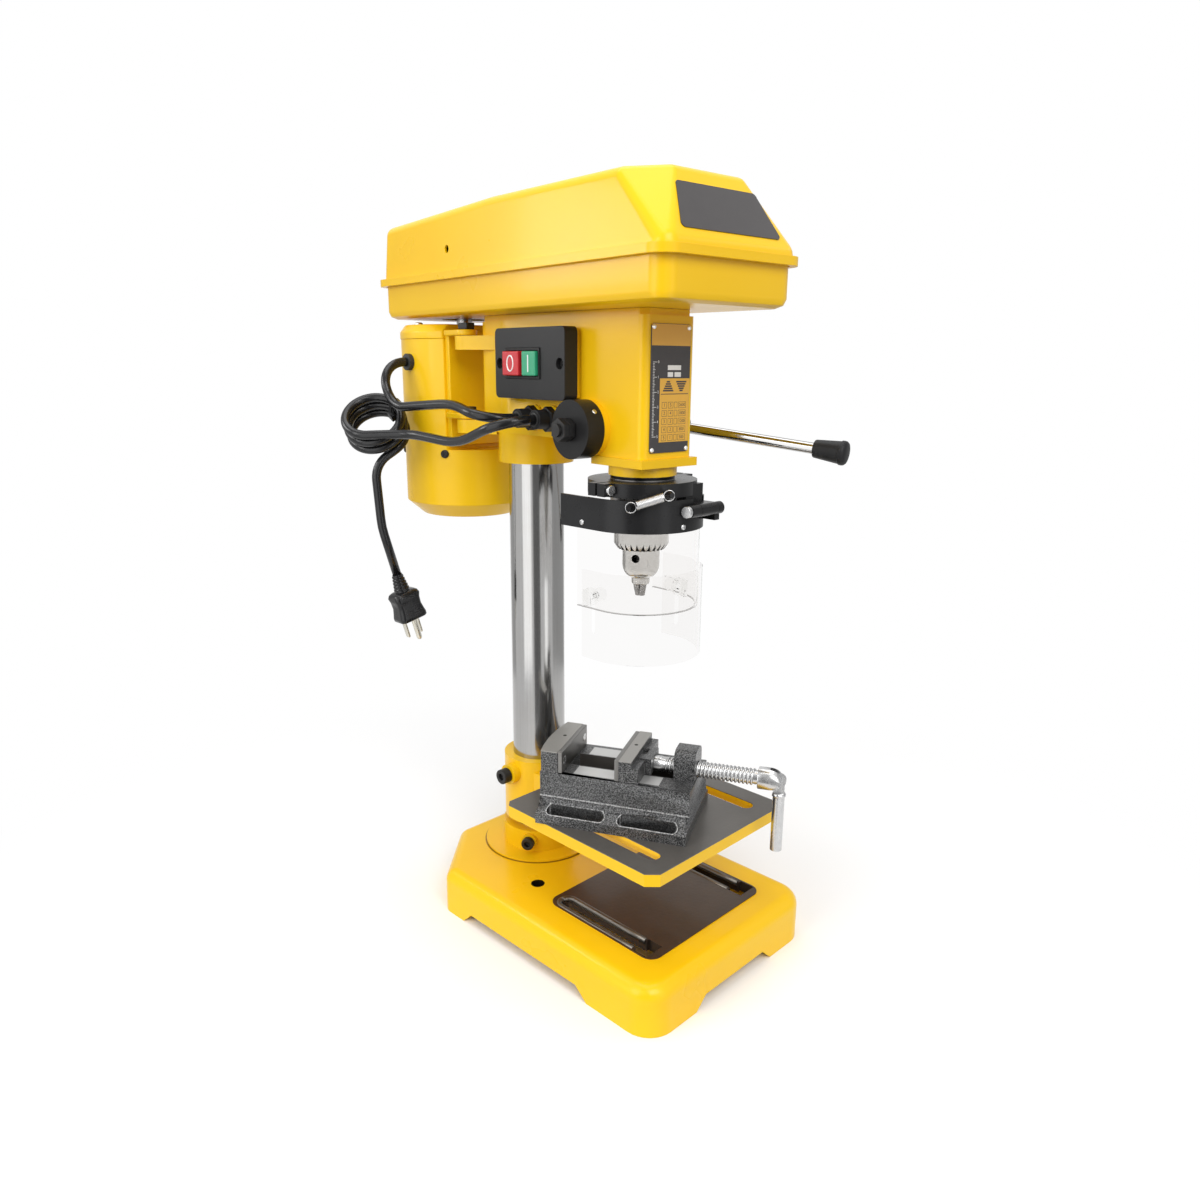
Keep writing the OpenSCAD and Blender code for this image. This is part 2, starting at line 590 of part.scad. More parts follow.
module chuck_body() color("gray") at_spindle() difference() {
    rotate_extrude() polygon([[0, chuck_nose_z], [6.6, chuck_nose_z], [7.2, chuck_nose_z + 1],
        [chuck_body_r, chuck_cone_z], [chuck_body_r, sleeve_z0 - 1], [chuck_core_r, sleeve_z0 - 1],
        [chuck_core_r, sleeve_z1 + gap], [chuck_sleeve_r - 2, sleeve_z1 + gap],
        [chuck_sleeve_r - 2, chuck_top - 2], [chuck_sleeve_r - 4, chuck_top], [0, chuck_top]]);
    for (k = [0 : 2]) {
        jaw_axis(k) translate([0, 0, -1]) cylinder(r = jaw_r + run, h = 56);
        rotate(120 * k + 90) translate([0, 0, sleeve_z0 - 7]) rod_x(2.6, 8, 20);
    }
    translate([0, 0, chuck_nose_z - 1]) cylinder(r = 4.2, h = 30);
    translate([0, 0, chuck_top - 20]) cylinder(r = 7, h = 30);
}
module chuck_sleeve() color("gray") at_spindle() difference() {
    rotate_extrude() polygon([[chuck_core_r + 0.1, sleeve_z0 + 1.5], [chuck_core_r + 1, sleeve_z0],
        [chuck_sleeve_r - 3.2, sleeve_z0], [chuck_sleeve_r, sleeve_z0 + 4], [chuck_sleeve_r, sleeve_z1 - 1],
        [chuck_sleeve_r - 1, sleeve_z1], [chuck_core_r + 0.1, sleeve_z1]]);
    for (k = [0 : chuck_teeth - 1]) rotate(k * 360 / chuck_teeth)
        translate([chuck_sleeve_r - 1.6, 0, sleeve_z0 + 2]) rotate([0, -51, 0]) rotate([0, 0, 45])
            translate([-0.75, -0.75, -5]) cube([1.5, 1.5, 10]);
}
module chuck_jaw(k) color("silver") at_spindle() intersection() {
    jaw_axis(k) translate([0, 0, -2]) cylinder(r = jaw_r, h = 35);
    translate([0, 0, chuck_z]) rotate(120 * k + 30) linear_extrude(34)
        polygon([[0.25, 0], [5.25, 8.66], [20, 8.66], [20, -8.66], [5.25, -8.66]]);
}
module chuck_jaw_1() chuck_jaw(0);
module chuck_jaw_2() chuck_jaw(1);
module chuck_jaw_3() chuck_jaw(2);

// Belt drive
module sleeve_bearings() color("gray") at_spindle() {
    ring_z(quill_r, 10 + run, head_top - 19, head_top - 10);
    ring_z(quill_r, 10 + run, head_top - 10, head_top);
}
module pulley_sleeve() color("silver") at_spindle() difference() {
    union() {
        translate([0, 0, head_top - 20]) cylinder(r = 10, h = pulley_z + pulley_h - head_top + 20);
        translate([0, 0, head_top + gap]) cylinder(r = 13, h = pulley_z - head_top - gap);
    }
    translate([0, 0, head_top - 30]) linear_extrude(120) spline_2d(0.15);
}
// A step pulley, with its steps growing upwards
module step_pulley(bore) difference() {
    rotate_extrude() polygon(concat([[bore, 0]],
        [for (i = [0 : 4]) let (r = pulley_small_r + i * pulley_step, z = i * pulley_step_h)
            each [[r, z], [r, z + 1.5], [r - 6, z + pulley_step_h / 2 - 2.6],
                [r - 6, z + pulley_step_h / 2 + 2.6], [r, z + pulley_step_h - 1.5],
                [r, z + pulley_step_h]]],
        [[bore, pulley_h]]));
    for (a = [0 : 72 : 288]) rotate(a) translate([belt_r - 6, 0, pulley_h - 1.1 * pulley_step_h])
        cylinder(r = 6, h = 2 * pulley_step_h);
}
module spindle_pulley() color("silver") at_spindle() translate([0, 0, pulley_z]) step_pulley(10);
module motor_pulley() color("silver") at_motor() translate([0, 0, pulley_z + pulley_h])
    mirror([0, 0, 1]) step_pulley(7);
module belt_2d() polygon([[belt_r - 5.5, -2.2], [belt_r + 0.5, -4], [belt_r + 0.5, 4], [belt_r - 5.5, 2.2]]);
module v_belt() color("black") at_head() translate([0, 0, belt_z]) {
    translate([0, sp_y, 0]) rotate(180) rotate_extrude(angle = 180) belt_2d();
    translate([0, motor_y, 0]) rotate_extrude(angle = 180) belt_2d();
    for (s = [0, 1]) mirror([s, 0, 0]) translate([0, motor_y, 0]) rotate([90, 0, 0])
        linear_extrude(motor_y - sp_y) belt_2d();
}

// Motor
module motor_housing() color("gold") at_motor() difference() {
    rotate_extrude() polygon([[0, motor_bottom], [motor_r - 14, motor_bottom], [motor_r, motor_bottom + 12],
        [motor_r, motor_seam], [0, motor_seam]]);
    box(-motor_r, motor_r, -motor_r - 1, -motor_flat, head_bottom - 6, motor_seam + 1);
    translate([0, 0, motor_seam - 40]) cylinder(r = 7 + run, h = 50);
}
module motor_end_cap() color("gold") at_motor() difference() {
    translate([0, 0, motor_seam]) rotate_extrude() polygon([[0, 0], [motor_r + 0.6, 0],
        [motor_r + 0.6, 6], [motor_r - 4, 12], [0, 12]]);
    box(-motor_r - 1, motor_r + 1, -motor_r - 1, -motor_flat, motor_seam - 1, motor_seam + 13);
    translate([0, 0, motor_seam - 1]) cylinder(r = 7 + run, h = 20);
}
module motor_bracket() color("gold") at_head() difference() {
    y1 = motor_y - motor_flat;
    union() {
        box(-42, 34, y1 - 6, y1, head_bottom - 2, lug_z[1] + lug_h + gap + ear_h);
        for (z = lug_z) {
            translate([hinge_x, hinge_y, z + lug_h + gap]) cylinder(r = 9, h = ear_h);
            box(hinge_x - 9, hinge_x + 9, hinge_y, y1 - 3, z + lug_h + gap, z + lug_h + gap + ear_h);
        }
    }
    for (z = lug_z) translate([hinge_x, hinge_y, z]) cylinder(r = pivot_r + run, h = 40);
}
module motor_grommet() color("black") at_motor() translate([0, 0, 463]) difference() {
    rod_x(7, -motor_r - 4, -motor_r + 5);
    translate([0, 0, -20]) cylinder(r = motor_r, h = 40);
}
module motor_shaft() color("silver") at_motor() translate([0, 0, motor_seam - 39])
    cylinder(r = 7, h = pulley_z + pulley_h - motor_seam + 39);
module motor_pivot_bolts() color("black") at_head() for (z = lug_z) translate([hinge_x, hinge_y, z]) {
    cylinder(r = pivot_r, h = lug_h + 2 * gap + ear_h);
    translate([0, 0, lug_h + 2 * gap + ear_h]) cylinder(r = 7.5, h = 5, $fn = 6);
}

// Belt housing
function half_at(y, inset) = housing_front_half - inset
    - (housing_front_half - housing_rear_half) * (y - housing_front) / (housing_rear - housing_front);
module housing_posts(inset, r, z0, z1) for (s = [-1, 1]) {
    translate([s * (half_at(housing_front, inset) - r), housing_front + inset + r, z0])
        cylinder(r = r, h = z1 - z0, $fn = 32);
    translate([s * (half_at(housing_rear, inset) - r), housing_rear - inset - r, z0])
        cylinder(r = r, h = z1 - z0, $fn = 32);
}
module belt_tray() color("gold") at_head() difference() {
    union() {
        hull() {
            housing_posts(5, 13, tray_z + 6, tray_lip_z);
            housing_posts(7, 11, tray_z + 2, tray_z + 4);
            housing_posts(11, 10, tray_z, tray_z + 1);
        }
        for (x = lid_hinge_x) translate([0, lid_hinge_y, lid_hinge_z]) {
            rod_x(3.2, x - 8, x - gap);
            rod_x(1.5, x - 8, x + 9);
            box(x - 8, x - gap, -11, 0, 0.2, 2.6);
        }
    }
    hull() {
        housing_posts(5 + housing_t, 12, tray_z + 7, tray_lip_z + 1);
        housing_posts(12, 10, tray_z + housing_t, tray_z + housing_t + 1);
    }
    translate([0, sp_y, tray_z - 1]) cylinder(r = 17, h = 10);
    translate([0, motor_y, tray_z - 1]) cylinder(r = 20, h = 10);
    for (s = [-1, 1], y = [-82, 20]) translate([s * 20, y, tray_z - 1]) cylinder(r = 2.5, h = 10);
}
// The corners of the lid, pulled in by a wall thickness; the upper edges rise towards the front
module lid_post(x, y, z, r, way, t) for (s = [-1, 1])
    translate([s * (x - r - t), y + way * (r + t), z - r - t]) sphere(r, $fn = 32);
module lid_posts(t) {
    foot = rim_top + lid_corner + t;
    lid_post(half_at(housing_front, 4), housing_front + 3, foot, lid_corner, 1, t);
    lid_post(half_at(housing_rear, 4), housing_rear - 5, foot, lid_corner, -1, t);
    lid_post(38, housing_front + 26, lid_top, lid_edge, 1, t);
    lid_post(60, housing_front + 43, lid_top - 1.5, lid_edge, 1, t);
    lid_post(57, -20, lid_top - 1, lid_edge, 0, t);
    lid_post(52.5, housing_rear - 12, lid_top - 6.5, lid_edge, -1, t);
}
module belt_lid() color("gold") at_head() difference() {
    union() {
        difference() {
            hull() lid_posts(0);
            box(-100, 100, -300, 300, rim_top - 20, rim_top - 1);
        }
        hull() housing_posts(0, 15, rim_z, rim_top);
        for (x = lid_hinge_x) translate([0, lid_hinge_y, lid_hinge_z]) {
            rod_x(3.2, x, x + 8);
            box(x, x + 8, -7.5, 1.5, rim_z - lid_hinge_z - 1, rim_z - lid_hinge_z + 3);
            box(x, x + 8, -1.5, 1.5, 0.5, rim_z - lid_hinge_z);
        }
    }
    hull() lid_posts(housing_t);
    hull() housing_posts(4.2, 13.5, rim_z - 1, rim_top);
    for (x = lid_hinge_x) translate([0, lid_hinge_y, lid_hinge_z]) rod_x(1.5 + run, x - 1, x + 9.5);
    translate([0, 40, lid_top - 33]) rod_x(3, -100, -40);
}

// Chuck guard
module u_wall(r, t, y1, z0, z1) translate([0, 0, z0]) linear_extrude(z1 - z0) difference() {
    union() {
        circle(r);
        translate([-r, 0]) square([2 * r, y1]);
    }
    circle(r - t);
    translate([-r + t, 0]) square([2 * r - 2 * t, y1 + 1]);
    if (y1 < r) translate([-r - 1, y1]) square([2 * r + 2, r]);
}
module guard_clamp() color("black") at_guard() difference() {
    union() {
        ring_z(clamp_r, neck_r, clamp_z0 + 4, clamp_z1);
        translate([4.3, 0, guard_axis_z]) translate([0, guard_axis_y, 0]) rod_x(4.5, 0, 19);
        box(4.3, 23.3, guard_axis_y, -30, guard_axis_z, guard_axis_z + 4.5);
        box(4.3, 23.3, -38, -30, guard_axis_z, clamp_z1 - 2);
        box(-clamp_r - 8, -clamp_r + 10, -8, 8, band_z1 + 2, clamp_z1);
        box(clamp_r - 10, clamp_r + 8, -8, 8, band_z1 + 2, clamp_z1);
        rotate(245) translate([0, 0, clamp_z1 - 6]) rod_x(1.8, clamp_r - 2, hook_r + 2);
    }
    for (s = [-1, 1]) box(s * 34 - 14, s * 34 + 14, -1, 1, clamp_z0, clamp_z1 + 1);
    translate([0, guard_axis_y, guard_axis_z]) rod_x(2.5, -20, 40);
    for (s = [-1, 1]) translate([s * (clamp_r + 3.4), 0, (band_z1 + 2 + clamp_z1) / 2]) rod_y(2, -12, 12);
}
module guard_hinge_bolt() color("silver") at_guard() translate([0, guard_axis_y, guard_axis_z]) {
    rod_x(2.5, -7, 31);
    rod_x(4.2, -9.3, -6);
    translate([0, -guard_axis_y, (band_z1 + 2 + clamp_z1) / 2 - guard_axis_z]) for (s = [-1, 1])
        translate([s * (clamp_r + 3.4), 0, 0]) {
            rod_y(2, -11, 8);
            rod_y(3.6, -11, -8);
        }
}
module guard_band() color("black") at_guard() difference() {
    union() {
        u_wall(band_r, 2, 39, band_z0, band_z1);
        for (x = [[-5.5, 4], [23.6, 29]]) {
            translate([0, guard_axis_y, guard_axis_z]) rod_x(4.5, x[0], x[1]);
            box(x[0], x[1], guard_axis_y, -x[0] / 4 - 42, guard_axis_z - 4.5, guard_axis_z);
        }
        box(23.6, 29, guard_axis_y, -36, guard_axis_z - 9, guard_axis_z - 3);
        rotate(212) translate([0, 0, band_z1 - 4]) rod_x(1.8, band_r - 1, hook_r + 2);
    }
    box(4, 23.6, -60, -30, band_z0 + 9, band_z1 + 1);
    box(29, 40, -60, -20, band_z0 + 9, band_z1 + 1);
    translate([0, guard_axis_y, guard_axis_z]) rod_x(2.5 + run, -20, 40);
    translate([0, 0, band_z0 - 1]) cylinder(r = shield_r + gap, h = 40);
}
// Tension spring between the hooks of the clamp and the band
function spring_pt(i) = [2.2 * cos(45 * i), 2.2 * sin(45 * i), 5 + i * 1.3 / 8];
spring_path = concat([[0, 0, 0], [0.6, 0, 1], [1.6, 0, 2.4], [2.1, 0, 3.8]],
    [for (i = [0 : 124]) spring_pt(i)], [[-2.1, 0, 26.2], [-1.6, 0, 27.6], [-0.6, 0, 29], [0, 0, 30.2]]);
module guard_spring() color("silver") at_guard() rotate(212) translate([hook_r, 0, band_z1 - 1.7])
    rotate([0, 0, 106.5]) rotate([0, 72.6, 0]) sweep(spring_path, 0.4, 6);
module upper_shield() color("lightblue", 0.4) at_guard() difference() {
    u_wall(shield_r, shield_t, 24, upper_shield_z, band_z1 - 6);
    box(3, 40, -60, -10, band_z0 + 9, band_z1 + 1);
    thumb_holes(2.3, 0);
}
module thumb_at(i) {
    if (i == 0) translate([-lower_r, 5, thumb_z[0]]) rotate([0, 0, 180]) children();
    if (i == 1) translate([-10, -sqrt(lower_r * lower_r - 100), thumb_z[1]]) rotate([0, 0, 257.8]) children();
}
module thumb_holes(r, l) for (i = [0, 1]) thumb_at(i) {
    rod_x(r, -9, 6);
    if (l > 0) {
        translate([0, 0, -l]) rod_x(r, -9, 6);
        box(-9, 6, -r, r, -l, 0);
    }
}
module lower_shield() color("lightblue", 0.4) at_guard() difference() {
    u_wall(lower_r, shield_t, 16, lower_shield_z, lower_top);
    thumb_holes(2.3 + gap, lower_travel);
}
module shield_thumbscrews() color("white", 0.6) at_guard() for (i = [0, 1]) thumb_at(i) {
    rod_x(2.3, -shield_t - 5, gap + 0.5);
    rod_x(6.5, 0.5, 3);
    box(0.5, 9, -1.2, 1.2, -6, 6);
    rod_x(5, -shield_t - 8, -shield_t - 1 - shield_t - 0.6);
}

// Cords: a tube swept along points, with frames carried from ring to ring
function unit(v) = v / norm(v);
function tangent(P, i) = unit(P[min(i + 1, len(P) - 1)] - P[max(i - 1, 0)]);
function carry(n, t) = unit(n - (n * t) * t);
function frames(P) = [for (i = 0, n = carry(abs(tangent(P, 0)[2]) > 0.9 ? [1, 0, 0] : [0, 0, 1], tangent(P, 0));
    i < len(P); i = i + 1, n = i < len(P) ? carry(n, tangent(P, i)) : n) n];
module sweep(P, r, m) {
    F = frames(P);
    c = len(P);
    pts = concat([for (i = [0 : c - 1]) let (t = tangent(P, i), n = F[i], b = cross(t, n))
        for (k = [0 : m - 1]) P[i] + r * (cos(360 * k / m) * n + sin(360 * k / m) * b)], [P[0], P[c - 1]]);
    side = [for (i = [0 : c - 2], k = [0 : m - 1]) let (a = i * m + k, b = i * m + (k + 1) % m)
        each [[a, b + m, b], [a, a + m, b + m]]];
    caps = [for (k = [0 : m - 1]) each [[c * m, k, (k + 1) % m],
        [c * m + 1, (c - 1) * m + (k + 1) % m, (c - 1) * m + k]]];
    polyhedron(pts, concat(side, caps), convexity = 8);
}
// Points along a route of corners, each [x, y, z, bend radius], with an arc at every corner
function spot(c) = [c[0], c[1], c[2]];
function arc_points(a, b, c, r) = let (u = unit(a - b), v = unit(c - b), half = acos(u * v) / 2,
    centre = b + unit(u + v) * r / sin(half), w0 = unit(b + u * r / tan(half) - centre),
    w1 = unit(b + v * r / tan(half) - centre), turn = 180 - 2 * half, n = max(2, ceil(turn / 15)))
    [for (k = [0 : n]) centre + r * (sin((1 - k / n) * turn) * w0 + sin(k / n * turn) * w1) / sin(turn)];
function bent(R) = let (n = len(R) - 1) [for (i = [0 : n]) each i == 0 || i == n ? [spot(R[i])]
    : arc_points(spot(R[i - 1]), spot(R[i]), spot(R[i + 1]), R[i][3])];
gland_x = side_pad_x - 16;
lead_z = feed_z + 5;
motor_lead_path = bent([[-motor_r - 4.2, motor_y, 463], [-motor_r - 31, motor_y, 463, 23],
    [-83, 88, 426, 22], [-75, 8, 432, 90], [-79, -40, lead_z, 23], [gland_x - 0.15, -40, lead_z]]);
// The tied coil: loops that lean back, each one further along its axis
coil_c = [-90, 107, 411];
coil_lean = 45;
coil_e1 = [cos(45), -sin(45), 0];
coil_e2 = [sin(45) * sin(coil_lean), cos(45) * sin(coil_lean), cos(coil_lean)];
coil_pitch = cord_d + 1.6;
coil_end = 1035;
function coil_pt(a) = coil_c - coil_r * (sin(a) * coil_e1 + cos(a) * coil_e2)
    - (a - coil_end / 2) / 360 * coil_pitch * cross(coil_e1, coil_e2);
coil_in_dir = unit(coil_pt(0.5) - coil_pt(-0.5));
coil_in = coil_pt(0) - 8 * coil_in_dir;
coil_out_dir = unit(coil_pt(coil_end + 0.5) - coil_pt(coil_end - 0.5));
coil_out = coil_pt(coil_end) + 8 * coil_out_dir;
coil_path = concat([coil_in, coil_in + 4 * coil_in_dir], [for (a = [0 : 15 : coil_end]) coil_pt(a)],
    [coil_out - 4 * coil_out_dir, coil_out]);
mains_path = bent([[gland_x - 0.15, -62, lead_z], [-79, -62, lead_z - 1, 23.5], [-79, -5, 402, 90],
    concat(coil_in - 30 * coil_in_dir, 40), coil_in]);
plug_turn = [-3.3, -14.3, 0];
plug_dir = [-cos(plug_turn[0]) * sin(plug_turn[1]), sin(plug_turn[0]), -cos(plug_turn[0]) * cos(plug_turn[1])];
plug_at = [-86, 90, 283];
drop_path = bent([coil_out, concat(coil_out + 13.5 * coil_out_dir, 23), concat(plug_at - 44 * plug_dir, 60),
    plug_at]);
function path_len(P) = len(P) < 2 ? 0 : sum_len(P, 1, 0);
function sum_len(P, i, s) = i == len(P) ? s : sum_len(P, i + 1, s + norm(P[i] - P[i - 1]));
// Least distance between strands of the coil that are not neighbours along it
coil_clear = min([for (i = [0 : len(coil_path) - 1], j = [i + 8 : 1 : len(coil_path) - 1])
    norm(coil_path[i] - coil_path[j])]) - cord_d;
spring_clear = min([for (i = [8 : 4 : 120], j = [i + 5 : 1 : 124]) norm(spring_path[i] - spring_path[j])]) - 0.8;
echo(coil_clear = coil_clear, spring_clear = spring_clear,
    mains_length = path_len(mains_path) + path_len(coil_path) + path_len(drop_path),
    motor_lead_length = path_len(motor_lead_path));
module motor_lead() color("black") at_head() sweep(motor_lead_path, cord_d / 2, 10);
module mains_lead() color("black") at_head() sweep(mains_path, cord_d / 2, 10);
module mains_coil() color("black") at_head() sweep(coil_path, cord_d / 2, 6);
module mains_drop() color("black") at_head() sweep(drop_path, cord_d / 2, 10);
module gland(y) at_head() translate([0, y, feed_z + 5]) difference() {
    union() {
        rotate([0, 90, 0]) translate([0, 0, side_pad_x - 6]) cylinder(r = 9.5, h = 6, $fn = 6);
        rod_x(7.2, side_pad_x - 16, side_pad_x - 5);
    }
    rod_x(cord_d / 2, gland_x + 8, 0);
}
module motor_lead_gland() color("black") gland(-40);
module mains_gland() color("black") gland(-62);
module plug() color("black") at_head() translate(plug_at) rotate(plug_turn) {
    rotate([0, 180, 0]) rotate_extrude() polygon([[0, 0], [4.6, 0], [7, 16], [0, 16]]);
    translate([0, 0, -42]) linear_extrude(26) round_rect(-13, 13, -10.5, 10.5, 5);
    for (x = [-6.4, 6.4]) box(x - 0.8, x + 0.8, -0.5, 5.8, -59, -42);
    translate([0, -5, -62]) cylinder(r = 2.4, h = 20);
}

base();
base_set_screw();
column();
table();
table_clamp_screw();
vise_body();
vise_fixed_plate();
vise_moving_jaw();
vise_moving_plate();
vise_screw();
vise_handle();
head_casting();
head_lock_screws();
nameplate();
switch_box();
switch_module();
stop_button();
start_button();
spring_cap();
return_spring();
motor_lead_gland();
mains_gland();
belt_tray();
belt_lid();
quill();
quill_bearings();
spindle();
chuck_body();
chuck_sleeve();
chuck_jaw_1();
chuck_jaw_2();
chuck_jaw_3();
sleeve_bearings();
pulley_sleeve();
spindle_pulley();
v_belt();
motor_housing();
motor_end_cap();
motor_bracket();
motor_grommet();
motor_shaft();
motor_pulley();
motor_pivot_bolts();
feed_shaft();
feed_nuts();
feed_hub();
feed_rods();
feed_knobs();
guard_clamp();
guard_hinge_bolt();
guard_band();
guard_spring();
upper_shield();
lower_shield();
shield_thumbscrews();
motor_lead();
mains_lead();
mains_coil();
mains_drop();
plug();
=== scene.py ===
import json
import math
from functools import partial
import bmesh
import bpy
from mathutils import Matrix, Vector

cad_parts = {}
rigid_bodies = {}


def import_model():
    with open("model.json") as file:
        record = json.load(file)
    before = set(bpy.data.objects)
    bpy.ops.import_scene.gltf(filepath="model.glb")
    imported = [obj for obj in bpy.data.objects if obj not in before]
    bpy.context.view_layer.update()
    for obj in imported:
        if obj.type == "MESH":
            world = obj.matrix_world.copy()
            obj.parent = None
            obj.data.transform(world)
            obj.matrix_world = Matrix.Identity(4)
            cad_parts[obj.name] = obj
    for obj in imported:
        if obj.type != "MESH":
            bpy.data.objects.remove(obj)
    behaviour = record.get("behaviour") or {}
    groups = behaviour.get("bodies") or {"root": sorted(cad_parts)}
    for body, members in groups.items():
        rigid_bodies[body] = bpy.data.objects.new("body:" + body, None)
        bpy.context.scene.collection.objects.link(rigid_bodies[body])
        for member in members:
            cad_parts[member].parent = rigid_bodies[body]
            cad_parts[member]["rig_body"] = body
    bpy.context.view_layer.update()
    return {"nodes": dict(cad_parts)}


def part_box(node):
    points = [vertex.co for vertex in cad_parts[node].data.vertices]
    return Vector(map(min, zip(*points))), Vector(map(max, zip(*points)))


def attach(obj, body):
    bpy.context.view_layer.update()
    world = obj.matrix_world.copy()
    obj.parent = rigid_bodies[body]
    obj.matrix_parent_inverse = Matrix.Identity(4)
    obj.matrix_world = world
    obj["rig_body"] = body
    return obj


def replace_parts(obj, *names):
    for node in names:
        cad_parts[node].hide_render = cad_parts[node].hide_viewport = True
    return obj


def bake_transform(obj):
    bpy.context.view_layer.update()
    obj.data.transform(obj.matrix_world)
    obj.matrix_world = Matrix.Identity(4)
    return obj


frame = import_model()

# Camera: where the photograph was taken from, left of the front and a little above the switch,
# with the lens fitted to the column, the table, the belt housing and the base.


def shown(name, data):
    """A new object in the scene, at the origin."""
    made = bpy.data.objects.new(name, data)
    bpy.context.scene.collection.objects.link(made)
    return made


camera_data = bpy.data.cameras.new("camera")
camera_data.sensor_width = 36
camera_data.lens = 27.76
camera_data.clip_start = 0.01
camera = shown("camera", camera_data)
camera_spot = (-0.5157, -0.52375, 0.4624)
camera_turn, camera_lift, camera_roll = math.radians(-45.43), math.radians(14.3), math.radians(0.42)
camera_back = Vector((math.sin(camera_turn) * math.cos(camera_lift),
                      -math.cos(camera_turn) * math.cos(camera_lift), math.sin(camera_lift)))
camera_right = Vector((0, 0, 1)).cross(camera_back).normalized()
camera_axes = Matrix((camera_right, camera_back.cross(camera_right), camera_back)).transposed()
camera.matrix_world = (Matrix.Translation(camera_spot)
                       @ (camera_axes @ Matrix.Rotation(camera_roll, 3, "Z")).to_4x4())
bpy.context.scene.camera = camera

# Mains lead: 7.6 mm round flexible cord in a black sheath. It leaves its gland, runs back along the
# head, is gathered in a small tied coil beside the motor, and its free end hangs down to the plug.
moved, millimetres = Matrix.Translation, Matrix.Scale(0.001, 4)


def spun(degrees, axis):
    """A turn about an axis of a frame."""
    return Matrix.Rotation(math.radians(degrees), 4, axis)


column_y, head_turn = 0.06, 5
head_frame = moved((0, column_y, 0)) @ spun(-head_turn, "Z") @ millimetres
cord_radius, cord_sides = 3.8, 24
gland_x, lead_z, mains_y, motor_lead_y = -47.5, 422, -62, -40
coil_middle, coil_radius, coil_pitch, coil_turn = Vector((-90, 107, 411)), 23, 9.2, 1035
coil_side, coil_rise = Vector((math.sqrt(0.5), -math.sqrt(0.5), 0)), Vector((0.5, 0.5, math.sqrt(0.5)))
coil_axis = coil_side.cross(coil_rise)


def coil_point(turn):
    """The middle of the cord at an angle of the coil, in the head's millimetres."""
    a = math.radians(turn)
    return (coil_middle - coil_radius * (math.sin(a) * coil_side + math.cos(a) * coil_rise)
            - (turn - coil_turn / 2) / 360 * coil_pitch * coil_axis)


def bent(route):
    """Points along a route of corners (place, bend radius), with an arc at each inner corner."""
    spots = [Vector(place) for place, radius in route]
    points = [spots[0]]
    for i in range(1, len(spots) - 1):
        radius = route[i][1]
        one = (spots[i - 1] - spots[i]).normalized()
        two = (spots[i + 1] - spots[i]).normalized()
        half = one.angle(two) / 2
        middle = spots[i] + (one + two).normalized() * radius / math.sin(half)
        first = (spots[i] + one * radius / math.tan(half) - middle).normalized()
        last = (spots[i] + two * radius / math.tan(half) - middle).normalized()
        sweep = math.pi - 2 * half
        steps = max(2, math.ceil(math.degrees(sweep) / 9))
        for k in range(steps + 1):
            share = sweep * k / steps
            way = (math.sin(sweep - share) * first + math.sin(share) * last) / math.sin(sweep)
            points.append(middle + radius * way)
    return points + [spots[-1]]


def placed(name, mesh, outward=False):
    """A new object at the origin from a finished bmesh; its faces can be turned outward first."""
    if outward:
        bmesh.ops.recalc_face_normals(mesh, faces=mesh.faces)
    data = bpy.data.meshes.new(name)
    mesh.to_mesh(data)
    mesh.free()
    return shown(name, data)


def circle(count):
    """The angles of equal steps round a circle."""
    return [2 * math.pi * k / count for k in range(count)]


def joined(mesh, rings, closed=False, smooth=True):
    """Faces between rings with as many points each; the ends are capped unless they meet."""
    count = len(rings[0])
    for low, high in zip(rings, rings[1:] + (rings[:1] if closed else [])):
        for k in range(count):
            ahead = (k + 1) % count
            mesh.faces.new((low[k], low[ahead], high[ahead], high[k])).smooth = smooth
    if not closed:
        mesh.faces.new(list(reversed(rings[0])))
        mesh.faces.new(rings[-1])
    return mesh


def tube(points, radius, sides, ring=False, mesh=None):
    """A mesh of a round tube along points in metres, closed at its ends or into a ring."""
    mesh = mesh or bmesh.new()
    normal = Vector((0, 0, 1))
    rings = []
    count = len(points)
    for i, p in enumerate(points):
        ahead = points[(i + 1) % count] if ring else points[min(i + 1, count - 1)]
        t = (ahead - points[i - 1 if ring else max(i - 1, 0)]).normalized()
        if i == 0 and abs(t.z) > 0.9:
            normal = Vector((1, 0, 0))
        normal = (normal - normal.dot(t) * t).normalized()
        across = t.cross(normal)
        rings.append([mesh.verts.new(p + radius * (math.cos(a) * normal + math.sin(a) * across))
                      for a in circle(sides)])
    return joined(mesh, rings, ring)


def fitted(piece, body, finish=None):
    """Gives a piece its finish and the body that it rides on."""
    if finish:
        piece.data.materials.append(finish)
    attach(piece, body)
    return piece


def wired(node, inputs):
    """Sets a node's inputs, each to a value or to another node's socket."""
    for key, value in inputs.items():
        if isinstance(value, bpy.types.NodeSocket):
            node.id_data.links.new(value, node.inputs[key])
        else:
            node.inputs[key].default_value = value
    return node


def node_of(tree, kind, inputs=None, **settings):
    """A new node with its settings and its inputs."""
    made = tree.nodes.new(kind if "Node" in kind else "ShaderNode" + kind)
    for key, value in settings.items():
        setattr(made, key, value)
    return wired(made, inputs or {})


def put(*given, **settings):
    """The first output of a new node."""
    return node_of(*given, **settings).outputs[0]


def finish_named(name, metallic=0.0):
    """A new material, with its shader and the coordinates of its object."""
    made = bpy.data.materials.new(name)
    made.use_nodes = True
    shader = wired(made.node_tree.nodes["Principled BSDF"], {"Metallic": metallic})
    return made, shader, node_of(made.node_tree, "TexCoord").outputs["Object"]


def spread(factor, low, high):
    """Maps a factor from 0 to 1 onto the range from low to high."""
    return put(factor.id_data, "MapRange", {"Value": factor, "To Min": low, "To Max": high})


